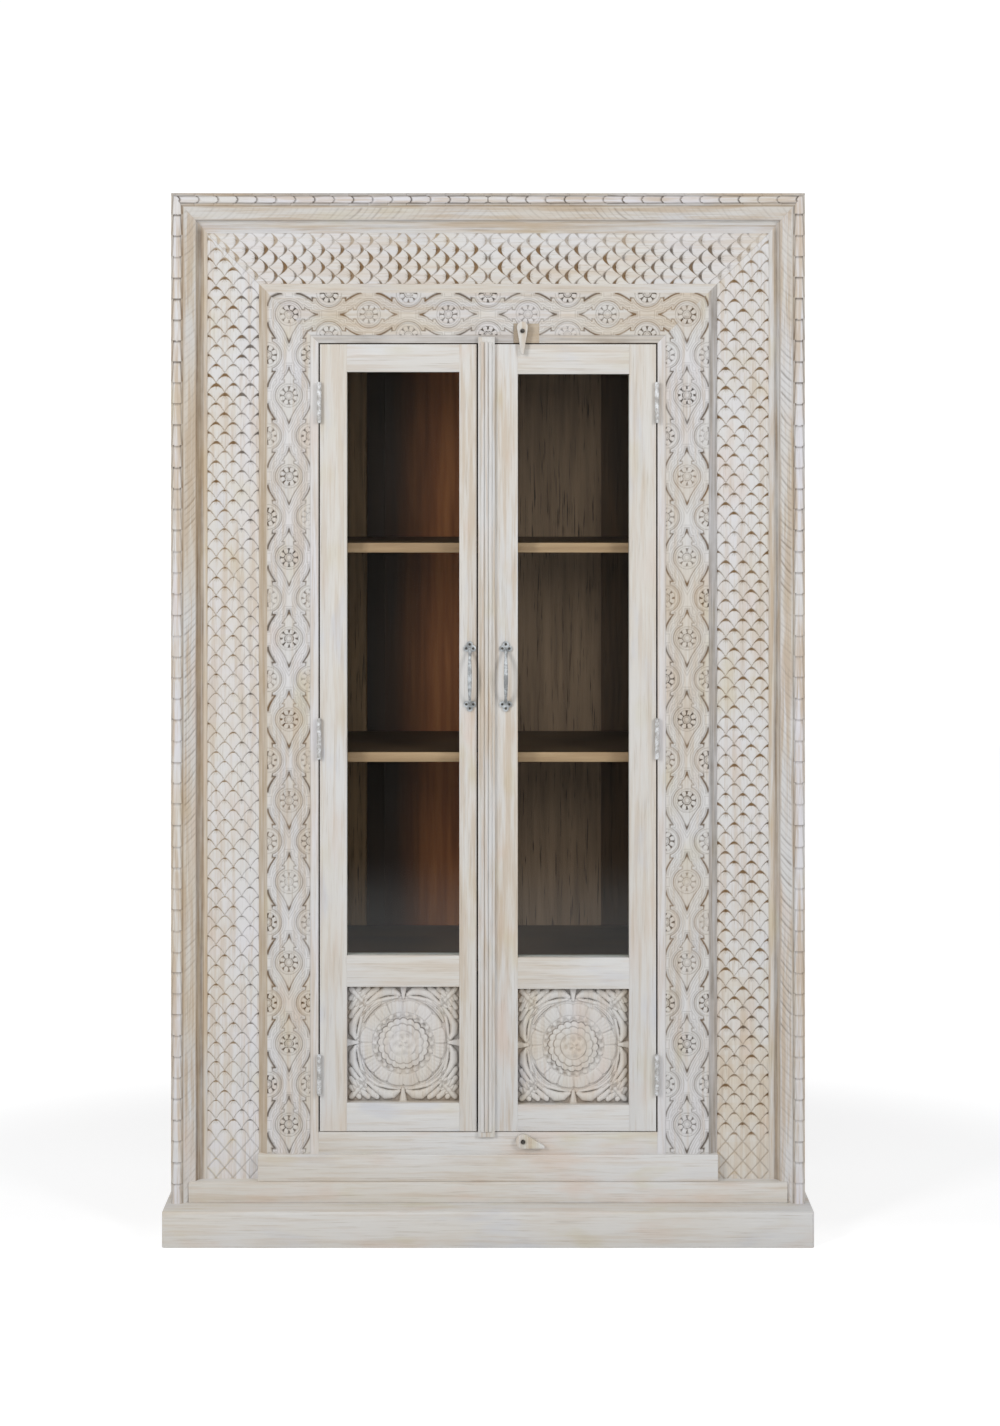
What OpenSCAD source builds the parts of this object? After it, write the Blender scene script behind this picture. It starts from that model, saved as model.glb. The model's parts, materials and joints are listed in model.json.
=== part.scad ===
// Carved two-door display cabinet: glazed doors over carved panels, inside a deep carved surround.
// X runs to the right, Y from front to back, Z up. The origin is under the middle of the footprint.

/* [Overall] */
// Height from the floor to the top of the outer moulding
overall_h = 2000; // [1850:10:2200]
// Width of the body over its outer moulding
body_w = 1212; // [1150:2:1320]
// Depth of the body from the front of its moulding to its back
body_d = 403; // [350:1:480]

/* [Plinth] */
// Height of the plinth
plinth_h = 68; // [50:1:100]
// How far the plinth stands out at each side
plinth_side_reach = 11; // [2:1:30]
// How far the plinth stands out in front
plinth_front_reach = 47; // [20:1:80]
// Depth of the front timber of the plinth
plinth_front_w = 80; // [60:1:110]
// Width of the side and back timbers of the plinth
plinth_timber_w = 62; // [50:1:80]
// Radius of the worn front arrises of the plinth
plinth_round = 5; // [2:0.5:12]

/* [Outer moulding] */
// Width of the tongue strip at the sides
tongue_w = 22; // [16:1:30]
// Height of the tongue strip along the top
tongue_h = 24; // [16:1:30]
// Width of the sloping leaf strip at the sides
leaf_w = 24; // [16:1:32]
// Height of the sloping leaf strip along the top
leaf_h = 26; // [16:1:32]
// Width of the hollow at the sides
cove_w = 20; // [14:1:32]
// Height of the hollow along the top
cove_h = 24; // [14:1:32]
// How far the leaf strip slopes back
leaf_fall = 12; // [6:1:14]
// Thickness of the boards of the front from the front plane to their back
front_t = 50; // [46:1:70]

/* [Carved borders] */
// Width of the fish-scale board at the sides
scale_w = 99; // [80:1:120]
// Height of the fish-scale board along the top
scale_h = 97; // [80:1:120]
// Depth of the fish-scale board behind the front plane
field_d = 28; // [24:1:34]
// Width of the bevel round the inner frame at the sides
slope_w = 18; // [10:1:24]
// Height of the bevel along the top of the inner frame
slope_h = 19; // [10:1:24]
// Width of the floral band at the sides
floral_w = 82; // [70:1:90]
// Height of the floral band along the top
floral_h = 81; // [70:1:90]
// Width of the plain strip next to the doors
plain_w = 16; // [10:1:24]
// Height of the plain strip above the doors
plain_h = 15; // [10:1:24]
// Depth of the inner frame's face behind the front plane
face_d = 16; // [14:0.5:20]
// Width of the lip that the closed doors rest on
stop_w = 8; // [5:1:14]

/* [Carving] */
// Distance between neighbouring fish scales at the sides
scale_pitch = 33; // [28:0.5:40]
// Distance between neighbouring fish scales along the top
top_scale_pitch = 34.2; // [28:0.1:40]
// Distance from one row of fish scales to the next
scale_row = 18.6; // [17:0.1:24]
// Depth of the gouge cut under a fish scale's round end
scale_cut = 2.4; // [1:0.1:3.5]
// How far that gouge cut runs out along the scale
scale_reach = 12; // [6:0.5:14]
// Wood left between neighbouring gouge cuts
scale_land = 1; // [0.6:0.1:4]
// From the moulding to the first row of fish scales on the left
scale_start_left = 8; // [5:0.5:20]
// From the moulding to the first row of fish scales on the right
scale_start_right = 13.5; // [5:0.5:20]
// Height above the base rail of the bare field below the fish scales
scale_foot = 76; // [20:1:120]
// Distance between the rosettes at the sides
rosette_pitch = 156.4; // [150:0.2:170]
// Number of rosettes along the top, corners included
top_rosettes = 6; // [5:1:6]
// Radius of the round part of a cartouche
cartouche_r = 25; // [22:0.5:27]
// Distance from the middle of a cartouche to its tips
cartouche_tip = 53; // [44:0.5:60]
// Radius of the half cartouches at the edges of the band
edge_cartouche_r = 27; // [22:0.5:28]
// Distance from the middle of a half cartouche to its tips
edge_cartouche_tip = 61; // [50:0.5:66]
// Radius of a rosette
rosette_r = 18.5; // [14:0.5:20]
// Depth of the sunk cartouches
cartouche_cut = 1.6; // [0.8:0.1:3]
// Distance between the tongues of the outer strip at the sides
tongue_pitch = 40.3; // [30:0.1:50]
// Distance between the tongues along the top
top_tongue_pitch = 36.9; // [30:0.1:50]
// Depth of the step under a tongue's lip
tongue_cut = 1.6; // [0.8:0.1:1.9]

/* [Lower rails] */
// Height of the base rail on the plinth
base_rail_h = 39; // [30:1:55]
// Height of the rail under the inner frame
lower_rail_h = 51; // [35:1:65]
// Height of the sill rail under the doors
sill_rail_h = 42; // [38:1:60]
// Depth of the base rail's face behind the front plane
base_rail_d = 4; // [1:0.5:8]
// Depth of the lower rail's face behind the front plane
lower_rail_d = 10; // [9:0.5:14]
// How far the base rail runs over the leaf strip at each end
base_rail_lap = 10.5; // [4:0.5:15]

/* [Doors] */
// Thickness of the door frames
door_t = 28; // [24:1:30]
// How far the door faces stand in front of the inner frame
door_proud = 0.5; // [0.3:0.1:2]
// Gap between a door and the frame on its hinge side
hinge_gap = 2.4; // [1.8:0.1:4]
// Gap above and below each door
door_gap = 2; // [1:0.1:4]
// Gap between the two doors
meeting_gap = 3; // [2.5:0.1:5]
// Where the right door's meeting edge stands left of the middle
meeting_offset = 19; // [5:1:40]
// Width of the stiles that carry the hinges
hinge_stile_w = 51.6; // [45:0.2:70]
// Width of the left door's meeting stile
left_meeting_w = 33; // [30:1:50]
// Width of the right door's meeting stile
right_meeting_w = 76; // [66:1:90]
// Height of the top rails
top_rail_h = 53; // [45:1:80]
// Height of the middle rails
middle_rail_h = 60; // [45:1:80]
// Height of the bottom rails
bottom_rail_h = 54; // [45:1:80]
// Height of the carved panels between their rails
carved_h = 223; // [180:1:300]
// How much lower the right door's rails were set
right_rail_drop = 4; // [0:0.5:6]
// Width of the rebate round each opening
rebate_w = 8; // [6:0.5:10]
// Thickness of the lip in front of the glass
glass_lip = 10; // [6:0.5:12]
// Thickness of the lip in front of a carved panel
panel_lip = 5; // [3:0.5:8]
// Thickness of the glass
glass_t = 4; // [3:0.5:6]
// Width of the beads behind the glass
bead_w = 7.5; // [5:0.5:8]
// Thickness of the beads behind the glass
bead_t = 12; // [6:1:14]
// Play of the glass in its rebate at each edge
glass_play = 1; // [0.5:0.25:2]
// Length of the rail tenons
tenon_l = 22; // [15:1:24]
// Thickness of the rail tenons
tenon_t = 9; // [7:0.5:10]

/* [Carved door panels] */
// Thickness of a carved panel from its highest carving to its back
carved_t = 20; // [17:0.5:22]
// Thickness of the ground board that the carving stands on
ground_t = 7; // [5:0.5:9]
// Radius of the flower over its outer petals
flower_r = 84; // [70:1:86]
// Number of petals in the outer ring of the flower
petals = 16; // [10:1:20]
// Radius of the flower over its inner petals
inner_flower_r = 50; // [40:1:56]
// Number of petals in the inner ring
inner_petals = 12; // [8:1:16]
// Radius of the bud in the middle of the flower
bud_r = 22; // [14:1:28]
// Number of beads between the two rings of petals
beads = 28; // [16:1:36]
// Radius of a bead
bead_r = 3; // [1.5:0.25:3.5]
// Radius of the leaves' round fingers
finger_r = 7; // [4:0.25:8]
// Height of the leaves' fingers at their roots
finger_rise = 5.5; // [4:0.5:7]
// Half width of the ribbon round the flower
ribbon_w = 5; // [3:0.5:6]

/* [Astragal] */
// Width of the astragal
astragal_w = 32; // [26:1:36]
// Thickness of the astragal
astragal_t = 9; // [7:0.5:12]
// Radius of its three reeds
reed_r = 3.6; // [2.8:0.1:3.9]
// Flat wood between two reeds
reed_gap = 0.4; // [0.3:0.1:1.5]
// From the astragal's ends to the ends of its reeds
reed_stop = 9; // [5:0.5:20]
// How far the astragal runs above the doors
astragal_top_lap = 14; // [6:1:16]
// How far the astragal runs below the doors
astragal_bottom_lap = 10; // [6:1:20]

/* [Hinges] */
// Height of a hinge
hinge_h = 76; // [60:1:90]
// Thickness of a hinge leaf
hinge_leaf_t = 2; // [1.4:0.1:2.4]
// Width of a hinge leaf behind its knuckles
hinge_leaf_w = 20; // [14:1:22]
// Radius of the knuckles
knuckle_r = 4.25; // [3.6:0.05:4.4]
// Radius of the hinge pins
pin_r = 2; // [1.6:0.05:2.2]
// From the top of the door opening to the middle of the top hinge
hinge_top_inset = 114; // [80:1:180]
// From the bottom of the door opening to the middle of the bottom hinge
hinge_bottom_inset = 111; // [80:1:180]

/* [Handles] */
// Height of the middle of the handles above the floor
handle_z = 1075; // [950:5:1200]
// Distance between the middles of a handle's two ends
handle_span = 107; // [90:1:125]
// How far the bar stands out from the door
handle_bow = 28; // [22:1:32]
// Width of the bar
bar_w = 8; // [7:0.5:10]
// Thickness of the bar
bar_t = 6; // [4:0.5:7]
// Radius of a lobe of the handle's ends
lobe_r = 6; // [5:0.25:6.5]
// Thickness of the handle's ends
lobe_t = 3; // [2:0.25:4]
// From the left door's meeting edge to the middle of its handle
left_handle_inset = 13; // [12.5:0.25:17]
// From the astragal to the middle of the right door's handle
right_handle_inset = 21; // [14:0.5:26]

/* [Clasps] */
// Thickness of a wooden clasp
clasp_t = 9; // [6:0.5:10]
// Clear space between a clasp and the door behind it
clasp_gap = 0.5; // [0.3:0.1:1]
// Radius of the clasp screws
clasp_screw_r = 2; // [1.5:0.1:2.5]
// Place of the top clasp to the right of the middle
top_clasp_x = 66; // [60:1:90]
// Height of the top clasp's screw above the door opening
top_clasp_rise = 23; // [20:1:30]
// Radius of the top clasp's head
top_head_r = 10.5; // [8:0.5:12]
// How far the middle of the top clasp's head stands above its screw
top_head_rise = 7.5; // [0:0.5:9]
// Distance from the top clasp's screw to the tip of its tail
top_tail = 45; // [38:1:46]
// Depth of the cut seat round the top clasp
seat_depth = 2; // [1:0.25:3]
// Width of the cut seat
seat_w = 50; // [40:1:60]
// From the left end of the cut seat to the top clasp's screw
seat_left = 17.5; // [12:0.5:22]
// Height of the cut seat
seat_h = 38; // [34:1:44]
// Place of the bottom clasp to the right of the middle
bottom_clasp_x = 67; // [55:1:90]
// Height of the bottom clasp's screw below the door opening
bottom_clasp_fall = 15.5; // [15:0.5:18]
// Radius of the bottom clasp's head
bottom_head_r = 13.5; // [10:0.5:14]
// Distance from the bottom clasp's screw to the tip of its tail
bottom_tail = 43; // [36:1:48]
// How far the bottom clasp hangs below level, in degrees
bottom_droop = 15; // [0:1:16]

/* [Inside] */
// Thickness of the side frames
side_t = 22; // [18:1:28]
// Width of the stiles of the side frames
side_stile_w = 60; // [45:1:80]
// Height of the rails of the side frames
side_rail_h = 70; // [50:1:90]
// Thickness of the side panels
side_panel_t = 12; // [8:1:14]
// How far a side panel is let into its frame
side_groove = 8; // [5:1:12]
// Thickness of the top board
top_t = 22; // [16:1:28]
// Thickness of the floor board
floor_t = 22; // [16:1:28]
// Height of the floor board's upper face above the plinth
floor_rise = 45; // [40:1:60]
// Thickness of a shelf
shelf_t = 19; // [16:1:25]
// Distance from one shelf to the next
shelf_pitch = 405.5; // [340:0.5:440]
// Depth of the shelves' front edge behind the front plane
shelf_d = 55; // [52:1:90]
// Width and height of the cleats under the shelves
cleat = 20; // [14:1:30]
// Thickness of the back boards
back_t = 11; // [8:1:14]
// Thickness of the battens behind the back boards
batten_t = 7; // [5:0.5:10]
// Height of the battens behind the back boards
batten_h = 70; // [50:1:90]
// Width of the dark narrow board of the back
narrow_board_w = 36; // [25:1:50]
// Gap that has opened beside the narrow board
back_gap = 3; // [0.5:0.5:5]
// How far each back board laps under the next one
back_lap = 8; // [6:1:14]
// From the middle to the narrow board's inner edge
back_left_x = 216; // [150:1:260]
// From the middle to the right panel's outer edge
back_right_x = 236; // [150:1:270]

/* [Hidden] */
$fn = 48;

LEFT = -1;
RIGHT = 1;
SHELVES = 3;
COVE_STEPS = 6;
FIT = 0.05;        // clearance of a pin or screw in its hole
SEAT = 0.3;        // clearance between pieces that pass each other closely
JOINT = 0.2;       // clearance round a tenon, a groove or a bead
EDGE = 2;          // width of the worn arrises of the tongue strip
TENON_INSET = 4;   // from the rebates to the upper and lower faces of a tenon
STEP_SHARE = 0.55; // part of a tongue's length over which the step under a lip runs out
BAND_EDGE = 1.5;   // uncut wood along the edges of the floral band
NECK = 0.36;       // half width of a cartouche's neck, as a share of its radius
SHOULDER = 0.55;   // half width of its spearheads, as a share of its radius
SPEAR = 0.56;      // where a spearhead starts, as a share of the way to its tip
CORNER_ENDS = [90, 180]; // the corner cartouches point down and towards the middle
SWEEP = 24;        // angle between an inner petal's edge and the radius
INNER_SHARE = 0.7; // height of the inner petals, as a share of the bud's
OUTER_SHARE = 0.6; // height of the outer petals, as a share of the bud's
BUD_RINGS = 3;     // rings of petals in the bud
BUD_PETALS = 7;    // petals of its lowest ring
BUD_TURN = 26;     // angle by which each ring is turned against the one below
BUD_DOME = 2;      // height of each ring's dome
BUD_STEP = 1.6;    // from one ring's top to the next one's
PETAL_GAP = 2.4;   // width of the cuts between petals
BEAD_LIFT = 0.6;   // how far the beads' middles lie above their seat
FINGERS = 5;       // fingers in half of a side's leaves
FINGER_RUN = 20;   // how far a finger runs along the side
LEAF_ANGLE = 39;   // angle from a side's middle to the root of the last finger
LEAF_EDGE = 4;     // from the fingers' tips to the frame

// Depth and its planes
overall_d = body_d + plinth_front_reach;
front_y = plinth_front_reach - overall_d / 2;
back_y = overall_d / 2;
leaf_d = 2;
leaf_back_d = leaf_d + leaf_fall;
door_face_d = face_d - door_proud;
door_back_d = door_face_d + door_t;
stop_d = door_back_d + 0.5;
back_d = body_d - batten_t - back_t;

// Lines of the surround, from the outside inwards
x_body = body_w / 2;
x_tongue = x_body - tongue_w;
x_leaf = x_tongue - leaf_w;
x_moulding = x_leaf - cove_w;
x_scale = x_moulding - scale_w;
x_floral = x_scale - slope_w;
x_plain = x_floral - floral_w;
x_open = x_plain - plain_w;
z_moulding = overall_h - tongue_h - leaf_h - cove_h;
z_scale = z_moulding - scale_h;
z_open = z_scale - slope_h - floral_h - plain_h;
x_inside = x_body - side_t;
z_rosette = z_open + plain_h + floral_h / 2;

// Heights of the lower rails
z_base_rail = plinth_h + base_rail_h;
z_lower_rail = z_base_rail + lower_rail_h;
z_sill = z_lower_rail + sill_rail_h;
x_base_rail = x_tongue - base_rail_lap;

// Doors
x_hinge_edge = x_open - hinge_gap;
x_axis = x_open - hinge_gap / 2;
axis_d = door_face_d - knuckle_r - SEAT;
door_z0 = z_sill + door_gap;
door_z1 = z_open - door_gap;
x_right_edge = -meeting_offset;
x_left_edge = x_right_edge - meeting_gap;
hinge_zs = [z_sill + hinge_bottom_inset,
            (z_sill + hinge_bottom_inset + z_open - hinge_top_inset) / 2,
            z_open - hinge_top_inset];

// Inner edges of a door's window: the edge beside its hinge stile and beside its meeting stile
function window_x(side) = side == LEFT
    ? [-x_hinge_edge + hinge_stile_w, x_left_edge - left_meeting_w]
    : [x_right_edge + right_meeting_w, x_hinge_edge - hinge_stile_w];
function drop(side) = side == LEFT ? 0 : right_rail_drop;
// Lower and upper edges of the carved panel's opening and of the window
function carved_z(side) = [door_z0 + bottom_rail_h - drop(side),
                           door_z0 + bottom_rail_h + carved_h - drop(side)];
function window_z(side) = [carved_z(side)[1] + middle_rail_h, door_z1 - top_rail_h - drop(side)];

// Inside
z_floor = plinth_h + floor_rise;
function shelf_z(i) = z_floor + i * shelf_pitch;

// Colours
WHITEWASH = [0.84, 0.82, 0.78];
RAW_EDGE = [0.66, 0.58, 0.48];
DARK_WOOD = [0.33, 0.24, 0.17];
GREY_WOOD = [0.4, 0.34, 0.28];
IRON = [0.5, 0.48, 0.45];
STEEL = [0.66, 0.64, 0.6];
GLASS = [0.75, 0.82, 0.8, 0.35];

// A board between two places across, two depths behind the front plane and two heights
module board(x0, x1, d0, d1, z0, z1)
    translate([x0, front_y + d0, z0]) cube([x1 - x0, d1 - d0, z1 - z0]);

// A drawing in X and Z, cut between two depths behind the front plane
module front_drawing(d0, d1)
    translate([0, front_y + d1, 0]) rotate([90, 0, 0]) linear_extrude(d1 - d0) children();

module front_outline(points, d0, d1) front_drawing(d0, d1) polygon(points);

// Puts what is drawn with Z pointing forwards on the front, turned in its plane
module on_front(x, z, d, turn = 0)
    translate([x, front_y + d, z]) rotate([90, 0, 0]) rotate([0, 0, turn]) children();

// A disc leaned back about a line below its upper edge, so that it cuts deepest at that edge and runs out
// at the line. The edge stands at the origin and points up.
module gouge(r, depth, reach)
    translate([0, -reach, 0]) rotate([-atan(depth / reach), 0, 0]) translate([0, reach - r, 0])
        cylinder(r = r, h = 3 * depth);

// A hole or shank along Y
module along_y(x, z, r, d0, d1)
    translate([x, front_y + d1, z]) rotate([90, 0, 0]) cylinder(r = r, h = d1 - d0);

// Draws what is modelled on the right, on the given side
module on_side(side) {
    if (side == LEFT) mirror([1, 0, 0]) children();
    else children();
}

// Section of a surround board: first coordinate inwards from its outer edge, second the depth
module extrude_up(x_out, z0, z1)
    translate([x_out, front_y, z0]) mirror([1, 0, 0]) linear_extrude(z1 - z0) children();

module extrude_across(x_out, z_out)
    translate([-x_out, front_y, z_out]) rotate([0, 90, 0]) linear_extrude(2 * x_out) children();

// Mitred outlines of a side board and of a top board of the surround
function side_mitre(x_out, z_out, x_in, z_in, z0) = [[x_out, z0], [x_out, z_out], [x_in, z_in], [x_in, z0]];
function top_mitre(x_out, z_out, x_in, z_in) = [[-x_out, z_out], [x_out, z_out], [x_in, z_in], [-x_in, z_in]];

// Plinth
module plinth_block(x0, x1, y0, y1) {
    r = plinth_round;
    // plan with two rounded front corners
    linear_extrude(plinth_h) {
        translate([x0 + r, y0]) square([x1 - x0 - 2 * r, y1 - y0]);
        translate([x0, y0 + r]) square([x1 - x0, y1 - y0 - r]);
        for (x = [x0 + r, x1 - r]) translate([x, y0 + r]) circle(r);
    }
}

module plinth_front() {
    x = x_body + plinth_side_reach;
    y0 = -overall_d / 2;
    r = plinth_round;
    color(WHITEWASH) intersection() {
        plinth_block(-x, x, y0, y0 + plinth_front_w);
        // section with a rounded upper front arris
        translate([-x, 0, 0]) rotate([90, 0, 90]) linear_extrude(2 * x) {
            translate([y0, 0]) square([plinth_front_w, plinth_h - r]);
            translate([y0 + r, 0]) square([plinth_front_w - r, plinth_h]);
            translate([y0 + r, plinth_h - r]) circle(r);
        }
    }
}

module plinth_back() {
    x = x_body + plinth_side_reach;
    color(WHITEWASH) translate([-x, back_y - plinth_timber_w, 0]) cube([2 * x, plinth_timber_w, plinth_h]);
}

module plinth_returns() {
    x = x_body + plinth_side_reach;
    y0 = -overall_d / 2 + plinth_front_w;
    y1 = back_y - plinth_timber_w;
    color(WHITEWASH) for (x0 = [-x, x - plinth_timber_w])
        translate([x0, y0, 0]) cube([plinth_timber_w, y1 - y0, plinth_h]);
}

// Side frames
side_z0 = plinth_h;
side_z1 = overall_h - top_t;
side_mid_z = (side_z0 + side_z1) / 2;
side_rail_zs = [side_z0, side_mid_z - side_rail_h / 2, side_z1 - side_rail_h];
groove_x = x_body - (side_t + side_panel_t) / 2;

module side_panel_space(grow) {
    for (i = [0, 1])
        board(groove_x - grow, groove_x + side_panel_t + grow,
              front_t + side_stile_w - side_groove - grow, body_d - side_stile_w + side_groove + grow,
              side_rail_zs[i] + side_rail_h - side_groove - grow, side_rail_zs[i + 1] + side_groove + grow);
}

module side_stiles(side) {
    color(WHITEWASH) on_side(side) difference() {
        for (d = [front_t, body_d - side_stile_w])
            board(x_inside, x_body, d, d + side_stile_w, side_z0, side_z1);
        side_panel_space(JOINT);
    }
}

module side_rails(side) {
    color(WHITEWASH) on_side(side) difference() {
        for (z = side_rail_zs)
            board(x_inside, x_body, front_t + side_stile_w, body_d - side_stile_w, z, z + side_rail_h);
        side_panel_space(JOINT);
    }
}

module side_panels(side) {
    color(WHITEWASH) on_side(side) side_panel_space(0);
}

// Carcass boards
module top_board() {
    color(WHITEWASH) board(-x_body, x_body, front_t, body_d, side_z1, overall_h);
}

module floor_board() {
    color(DARK_WOOD) board(-x_inside, x_inside, front_t, back_d, z_floor - floor_t, z_floor);
}

module shelf(i) {
    color(RAW_EDGE) board(-x_inside, x_inside, shelf_d, back_d, shelf_z(i) - shelf_t, shelf_z(i));
}

module shelf_cleats() {
    tops = concat([z_floor - floor_t], [for (i = [1:SHELVES]) shelf_z(i) - shelf_t]);
    color(DARK_WOOD) for (side = [LEFT, RIGHT], z = tops)
        on_side(side) board(x_inside - cleat, x_inside, shelf_d + cleat, back_d - cleat, z - cleat, z);
}

// Back: boards that lap one another, so that no light comes through where they have shrunk apart
back_z0 = plinth_h;
back_z1 = side_z1;
// A board whose face runs from x0 to x1. Its rear half starts further in and laps under the next board.
module back_board(x0, x1, gap = JOINT) {
    mid_d = back_d + back_t / 2;
    start = x0 == -x_inside ? x0 : x0 + back_lap + JOINT;
    end = x1 == x_inside ? x1 : x1 - gap;
    board(x0, end, back_d, mid_d - JOINT / 2, back_z0, back_z1);
    board(start, end, back_d, back_d + back_t, back_z0, back_z1);
    board(start, x1 == x_inside ? x1 : x1 + back_lap, mid_d + JOINT / 2, back_d + back_t, back_z0, back_z1);
}

module back_boards_left() {
    x = -back_left_x - narrow_board_w;
    x_mid = (x - x_inside) / 2;
    color(RAW_EDGE) {
        back_board(-x_inside, x_mid);
        back_board(x_mid, x, back_gap);
    }
}

module back_narrow_board() {
    color(GREY_WOOD) back_board(-back_left_x - narrow_board_w, -back_left_x);
}

module back_panel_left() {
    color(DARK_WOOD) back_board(-back_left_x, 0);
}

module back_panel_right() {
    color(GREY_WOOD) back_board(0, back_right_x);
}

module back_boards_right() {
    x_mid = (back_right_x + x_inside) / 2;
    color(GREY_WOOD) {
        back_board(back_right_x, x_mid);
        back_board(x_mid, x_inside);
    }
}

module back_battens() {
    z_mid = (back_z0 + back_z1 - batten_h) / 2;
    color(GREY_WOOD) for (z = [back_z0, z_mid, back_z1 - batten_h])
        board(-x_inside, x_inside, body_d - batten_t, body_d, z, z + batten_h);
}

// Outer moulding: a flat tongue strip, a sloping leaf strip and a hollow
module moulding_section(tongue, leaf, cove) {
    u = tongue + leaf;
    hollow = [for (i = [0:COVE_STEPS])
        let (a = 90 * i / COVE_STEPS)
        [u + cove * (1 - cos(a)), leaf_back_d + (field_d - leaf_back_d) * sin(a)]];
    polygon(concat([[0, front_t], [0, EDGE], [EDGE, 0], [tongue - EDGE, 0], [tongue, leaf_d]],
                   hollow, [[u + cove, front_t]]));
}

// The step under a tongue's round lip. The lip's lowest point stands at the origin, the step runs down from it.
module tongue_step(w, lip_r, reach)
    difference() {
        translate([0, -reach, 0]) rotate([-atan(tongue_cut / reach), 0, 0])
            translate([-w / 2, 0, 0]) cube([w, reach + w / 2, 3 * tongue_cut]);
        translate([0, lip_r, -2 * tongue_cut]) cylinder(r = lip_r, h = 6 * tongue_cut);
        translate([-w, lip_r, -2 * tongue_cut]) cube([2 * w, w, 6 * tongue_cut]);
    }

module outer_moulding_side(side) {
    color(WHITEWASH) on_side(side) difference() {
        intersection() {
            extrude_up(x_body, plinth_h, overall_h) moulding_section(tongue_w, leaf_w, cove_w);
            front_outline(side_mitre(x_body, overall_h, x_moulding, z_moulding, plinth_h), 0, front_t);
        }
        board(x_moulding - 1, x_base_rail, -1, front_t + 1, plinth_h - 1, z_base_rail);
        for (z = [overall_h - tongue_h - tongue_pitch / 2 : -tongue_pitch : plinth_h + tongue_pitch])
            on_front(x_body - tongue_w / 2, z, 0) tongue_step(tongue_w - EDGE, tongue_w, tongue_pitch * STEP_SHARE);
    }
}

module outer_moulding_top() {
    color(WHITEWASH) difference() {
        intersection() {
            extrude_across(x_body, overall_h) moulding_section(tongue_h, leaf_h, cove_h);
            front_outline(top_mitre(x_body, overall_h, x_moulding, z_moulding), 0, front_t);
        }
        for (side = [LEFT, RIGHT], x = [top_tongue_pitch : top_tongue_pitch : x_tongue - top_tongue_pitch])
            on_side(side) on_front(x, overall_h - tongue_h / 2, 0, 90)
                mirror([0, 1, 0]) tongue_step(tongue_h - EDGE, tongue_h / 2, top_tongue_pitch * STEP_SHARE);
    }
}

// Fish-scale boards. Each row of scales is shifted by half a scale, and the cuts stay clear of the mitres.
module scale_board_side(side) {
    r = (scale_pitch - scale_land) / 2;
    start = side == LEFT ? scale_start_left : scale_start_right;
    rows = floor((z_moulding - start - z_base_rail - scale_foot) / scale_row);
    color(WHITEWASH) on_side(side) difference() {
        front_outline(side_mitre(x_moulding, z_moulding, x_scale, z_scale, z_base_rail), field_d, front_t);
        for (row = [0:rows], a = [((row + 1) % 2) * scale_pitch / 2 : scale_pitch : scale_w + r]) {
            fall = start + row * scale_row;
            if (fall > (a + r) * scale_h / scale_w)
                on_front(x_moulding - a, z_moulding - fall, field_d) gouge(r, scale_cut, scale_reach);
        }
    }
}

module scale_board_top() {
    r = (top_scale_pitch - scale_land) / 2;
    first = top_scale_pitch * 0.4;
    rows = floor(x_moulding / scale_row);
    color(WHITEWASH) difference() {
        front_outline(top_mitre(x_moulding, z_moulding, x_scale, z_scale), field_d, front_t);
        for (side = [LEFT, RIGHT], row = [0:rows], i = [0:ceil(scale_h / top_scale_pitch)]) {
            a = first + (i + (row % 2) / 2) * top_scale_pitch;
            x = row * scale_row + scale_land;
            if (a - r < scale_h && x + r < x_moulding - (a + r) * scale_w / scale_h)
                on_side(side) on_front(x, z_moulding - a, field_d, 90) gouge(r, scale_cut, scale_reach);
        }
    }
}

// Inner frame: a bevel, the floral band and the plain strip, with the lip that stops the doors
module frame_section(slope, flat) {
    polygon([[0, front_t], [0, field_d], [slope, face_d], [slope + flat, face_d],
             [slope + flat, stop_d], [slope + flat + stop_w, stop_d], [slope + flat + stop_w, front_t]]);
}

// A rosette: round petals that touch, and a boss in their middle
module rosette() {
    petal_r = rosette_r * 0.29;
    for (i = [0:7]) rotate(45 * i) translate([rosette_r - petal_r, 0]) circle(petal_r);
    circle(rosette_r * 0.28);
}

// A cartouche round a rosette: a disc joined by a neck to a spearhead at each end that is asked for
module cartouche(r, tip, ends = [0, 180])
    difference() {
        union() {
            circle(r);
            for (turn = ends) rotate(turn)
                polygon([[-NECK * r, 0], [NECK * r, 0], [NECK * r, SPEAR * tip], [SHOULDER * r, SPEAR * tip],
                         [0, tip], [-SHOULDER * r, SPEAR * tip], [-NECK * r, SPEAR * tip]]);
        }
        rosette();
    }

// The side band's lattice: rosettes down its middle from the corner, half cartouches at both its edges
module side_lattice() {
    x_mid = (x_floral + x_plain) / 2;
    count = ceil((z_rosette - z_lower_rail) / rosette_pitch);
    intersection() {
        union() {
            translate([x_mid, z_rosette]) cartouche(cartouche_r, cartouche_tip, CORNER_ENDS);
            for (i = [1:count]) translate([x_mid, z_rosette - i * rosette_pitch]) cartouche(cartouche_r, cartouche_tip);
            for (x = [x_plain, x_floral], i = [0:count - 1])
                translate([x, z_rosette - (i + 0.5) * rosette_pitch]) cartouche(edge_cartouche_r, edge_cartouche_tip);
        }
        union() {
            translate([x_plain + BAND_EDGE, z_lower_rail + BAND_EDGE])
                square([floral_w - 2 * BAND_EDGE, z_open + plain_h - z_lower_rail]);
            translate([x_mid - cartouche_r, z_open]) square([floral_w / 2 + cartouche_r - BAND_EDGE, z_scale - z_open]);
        }
    }
}

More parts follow.
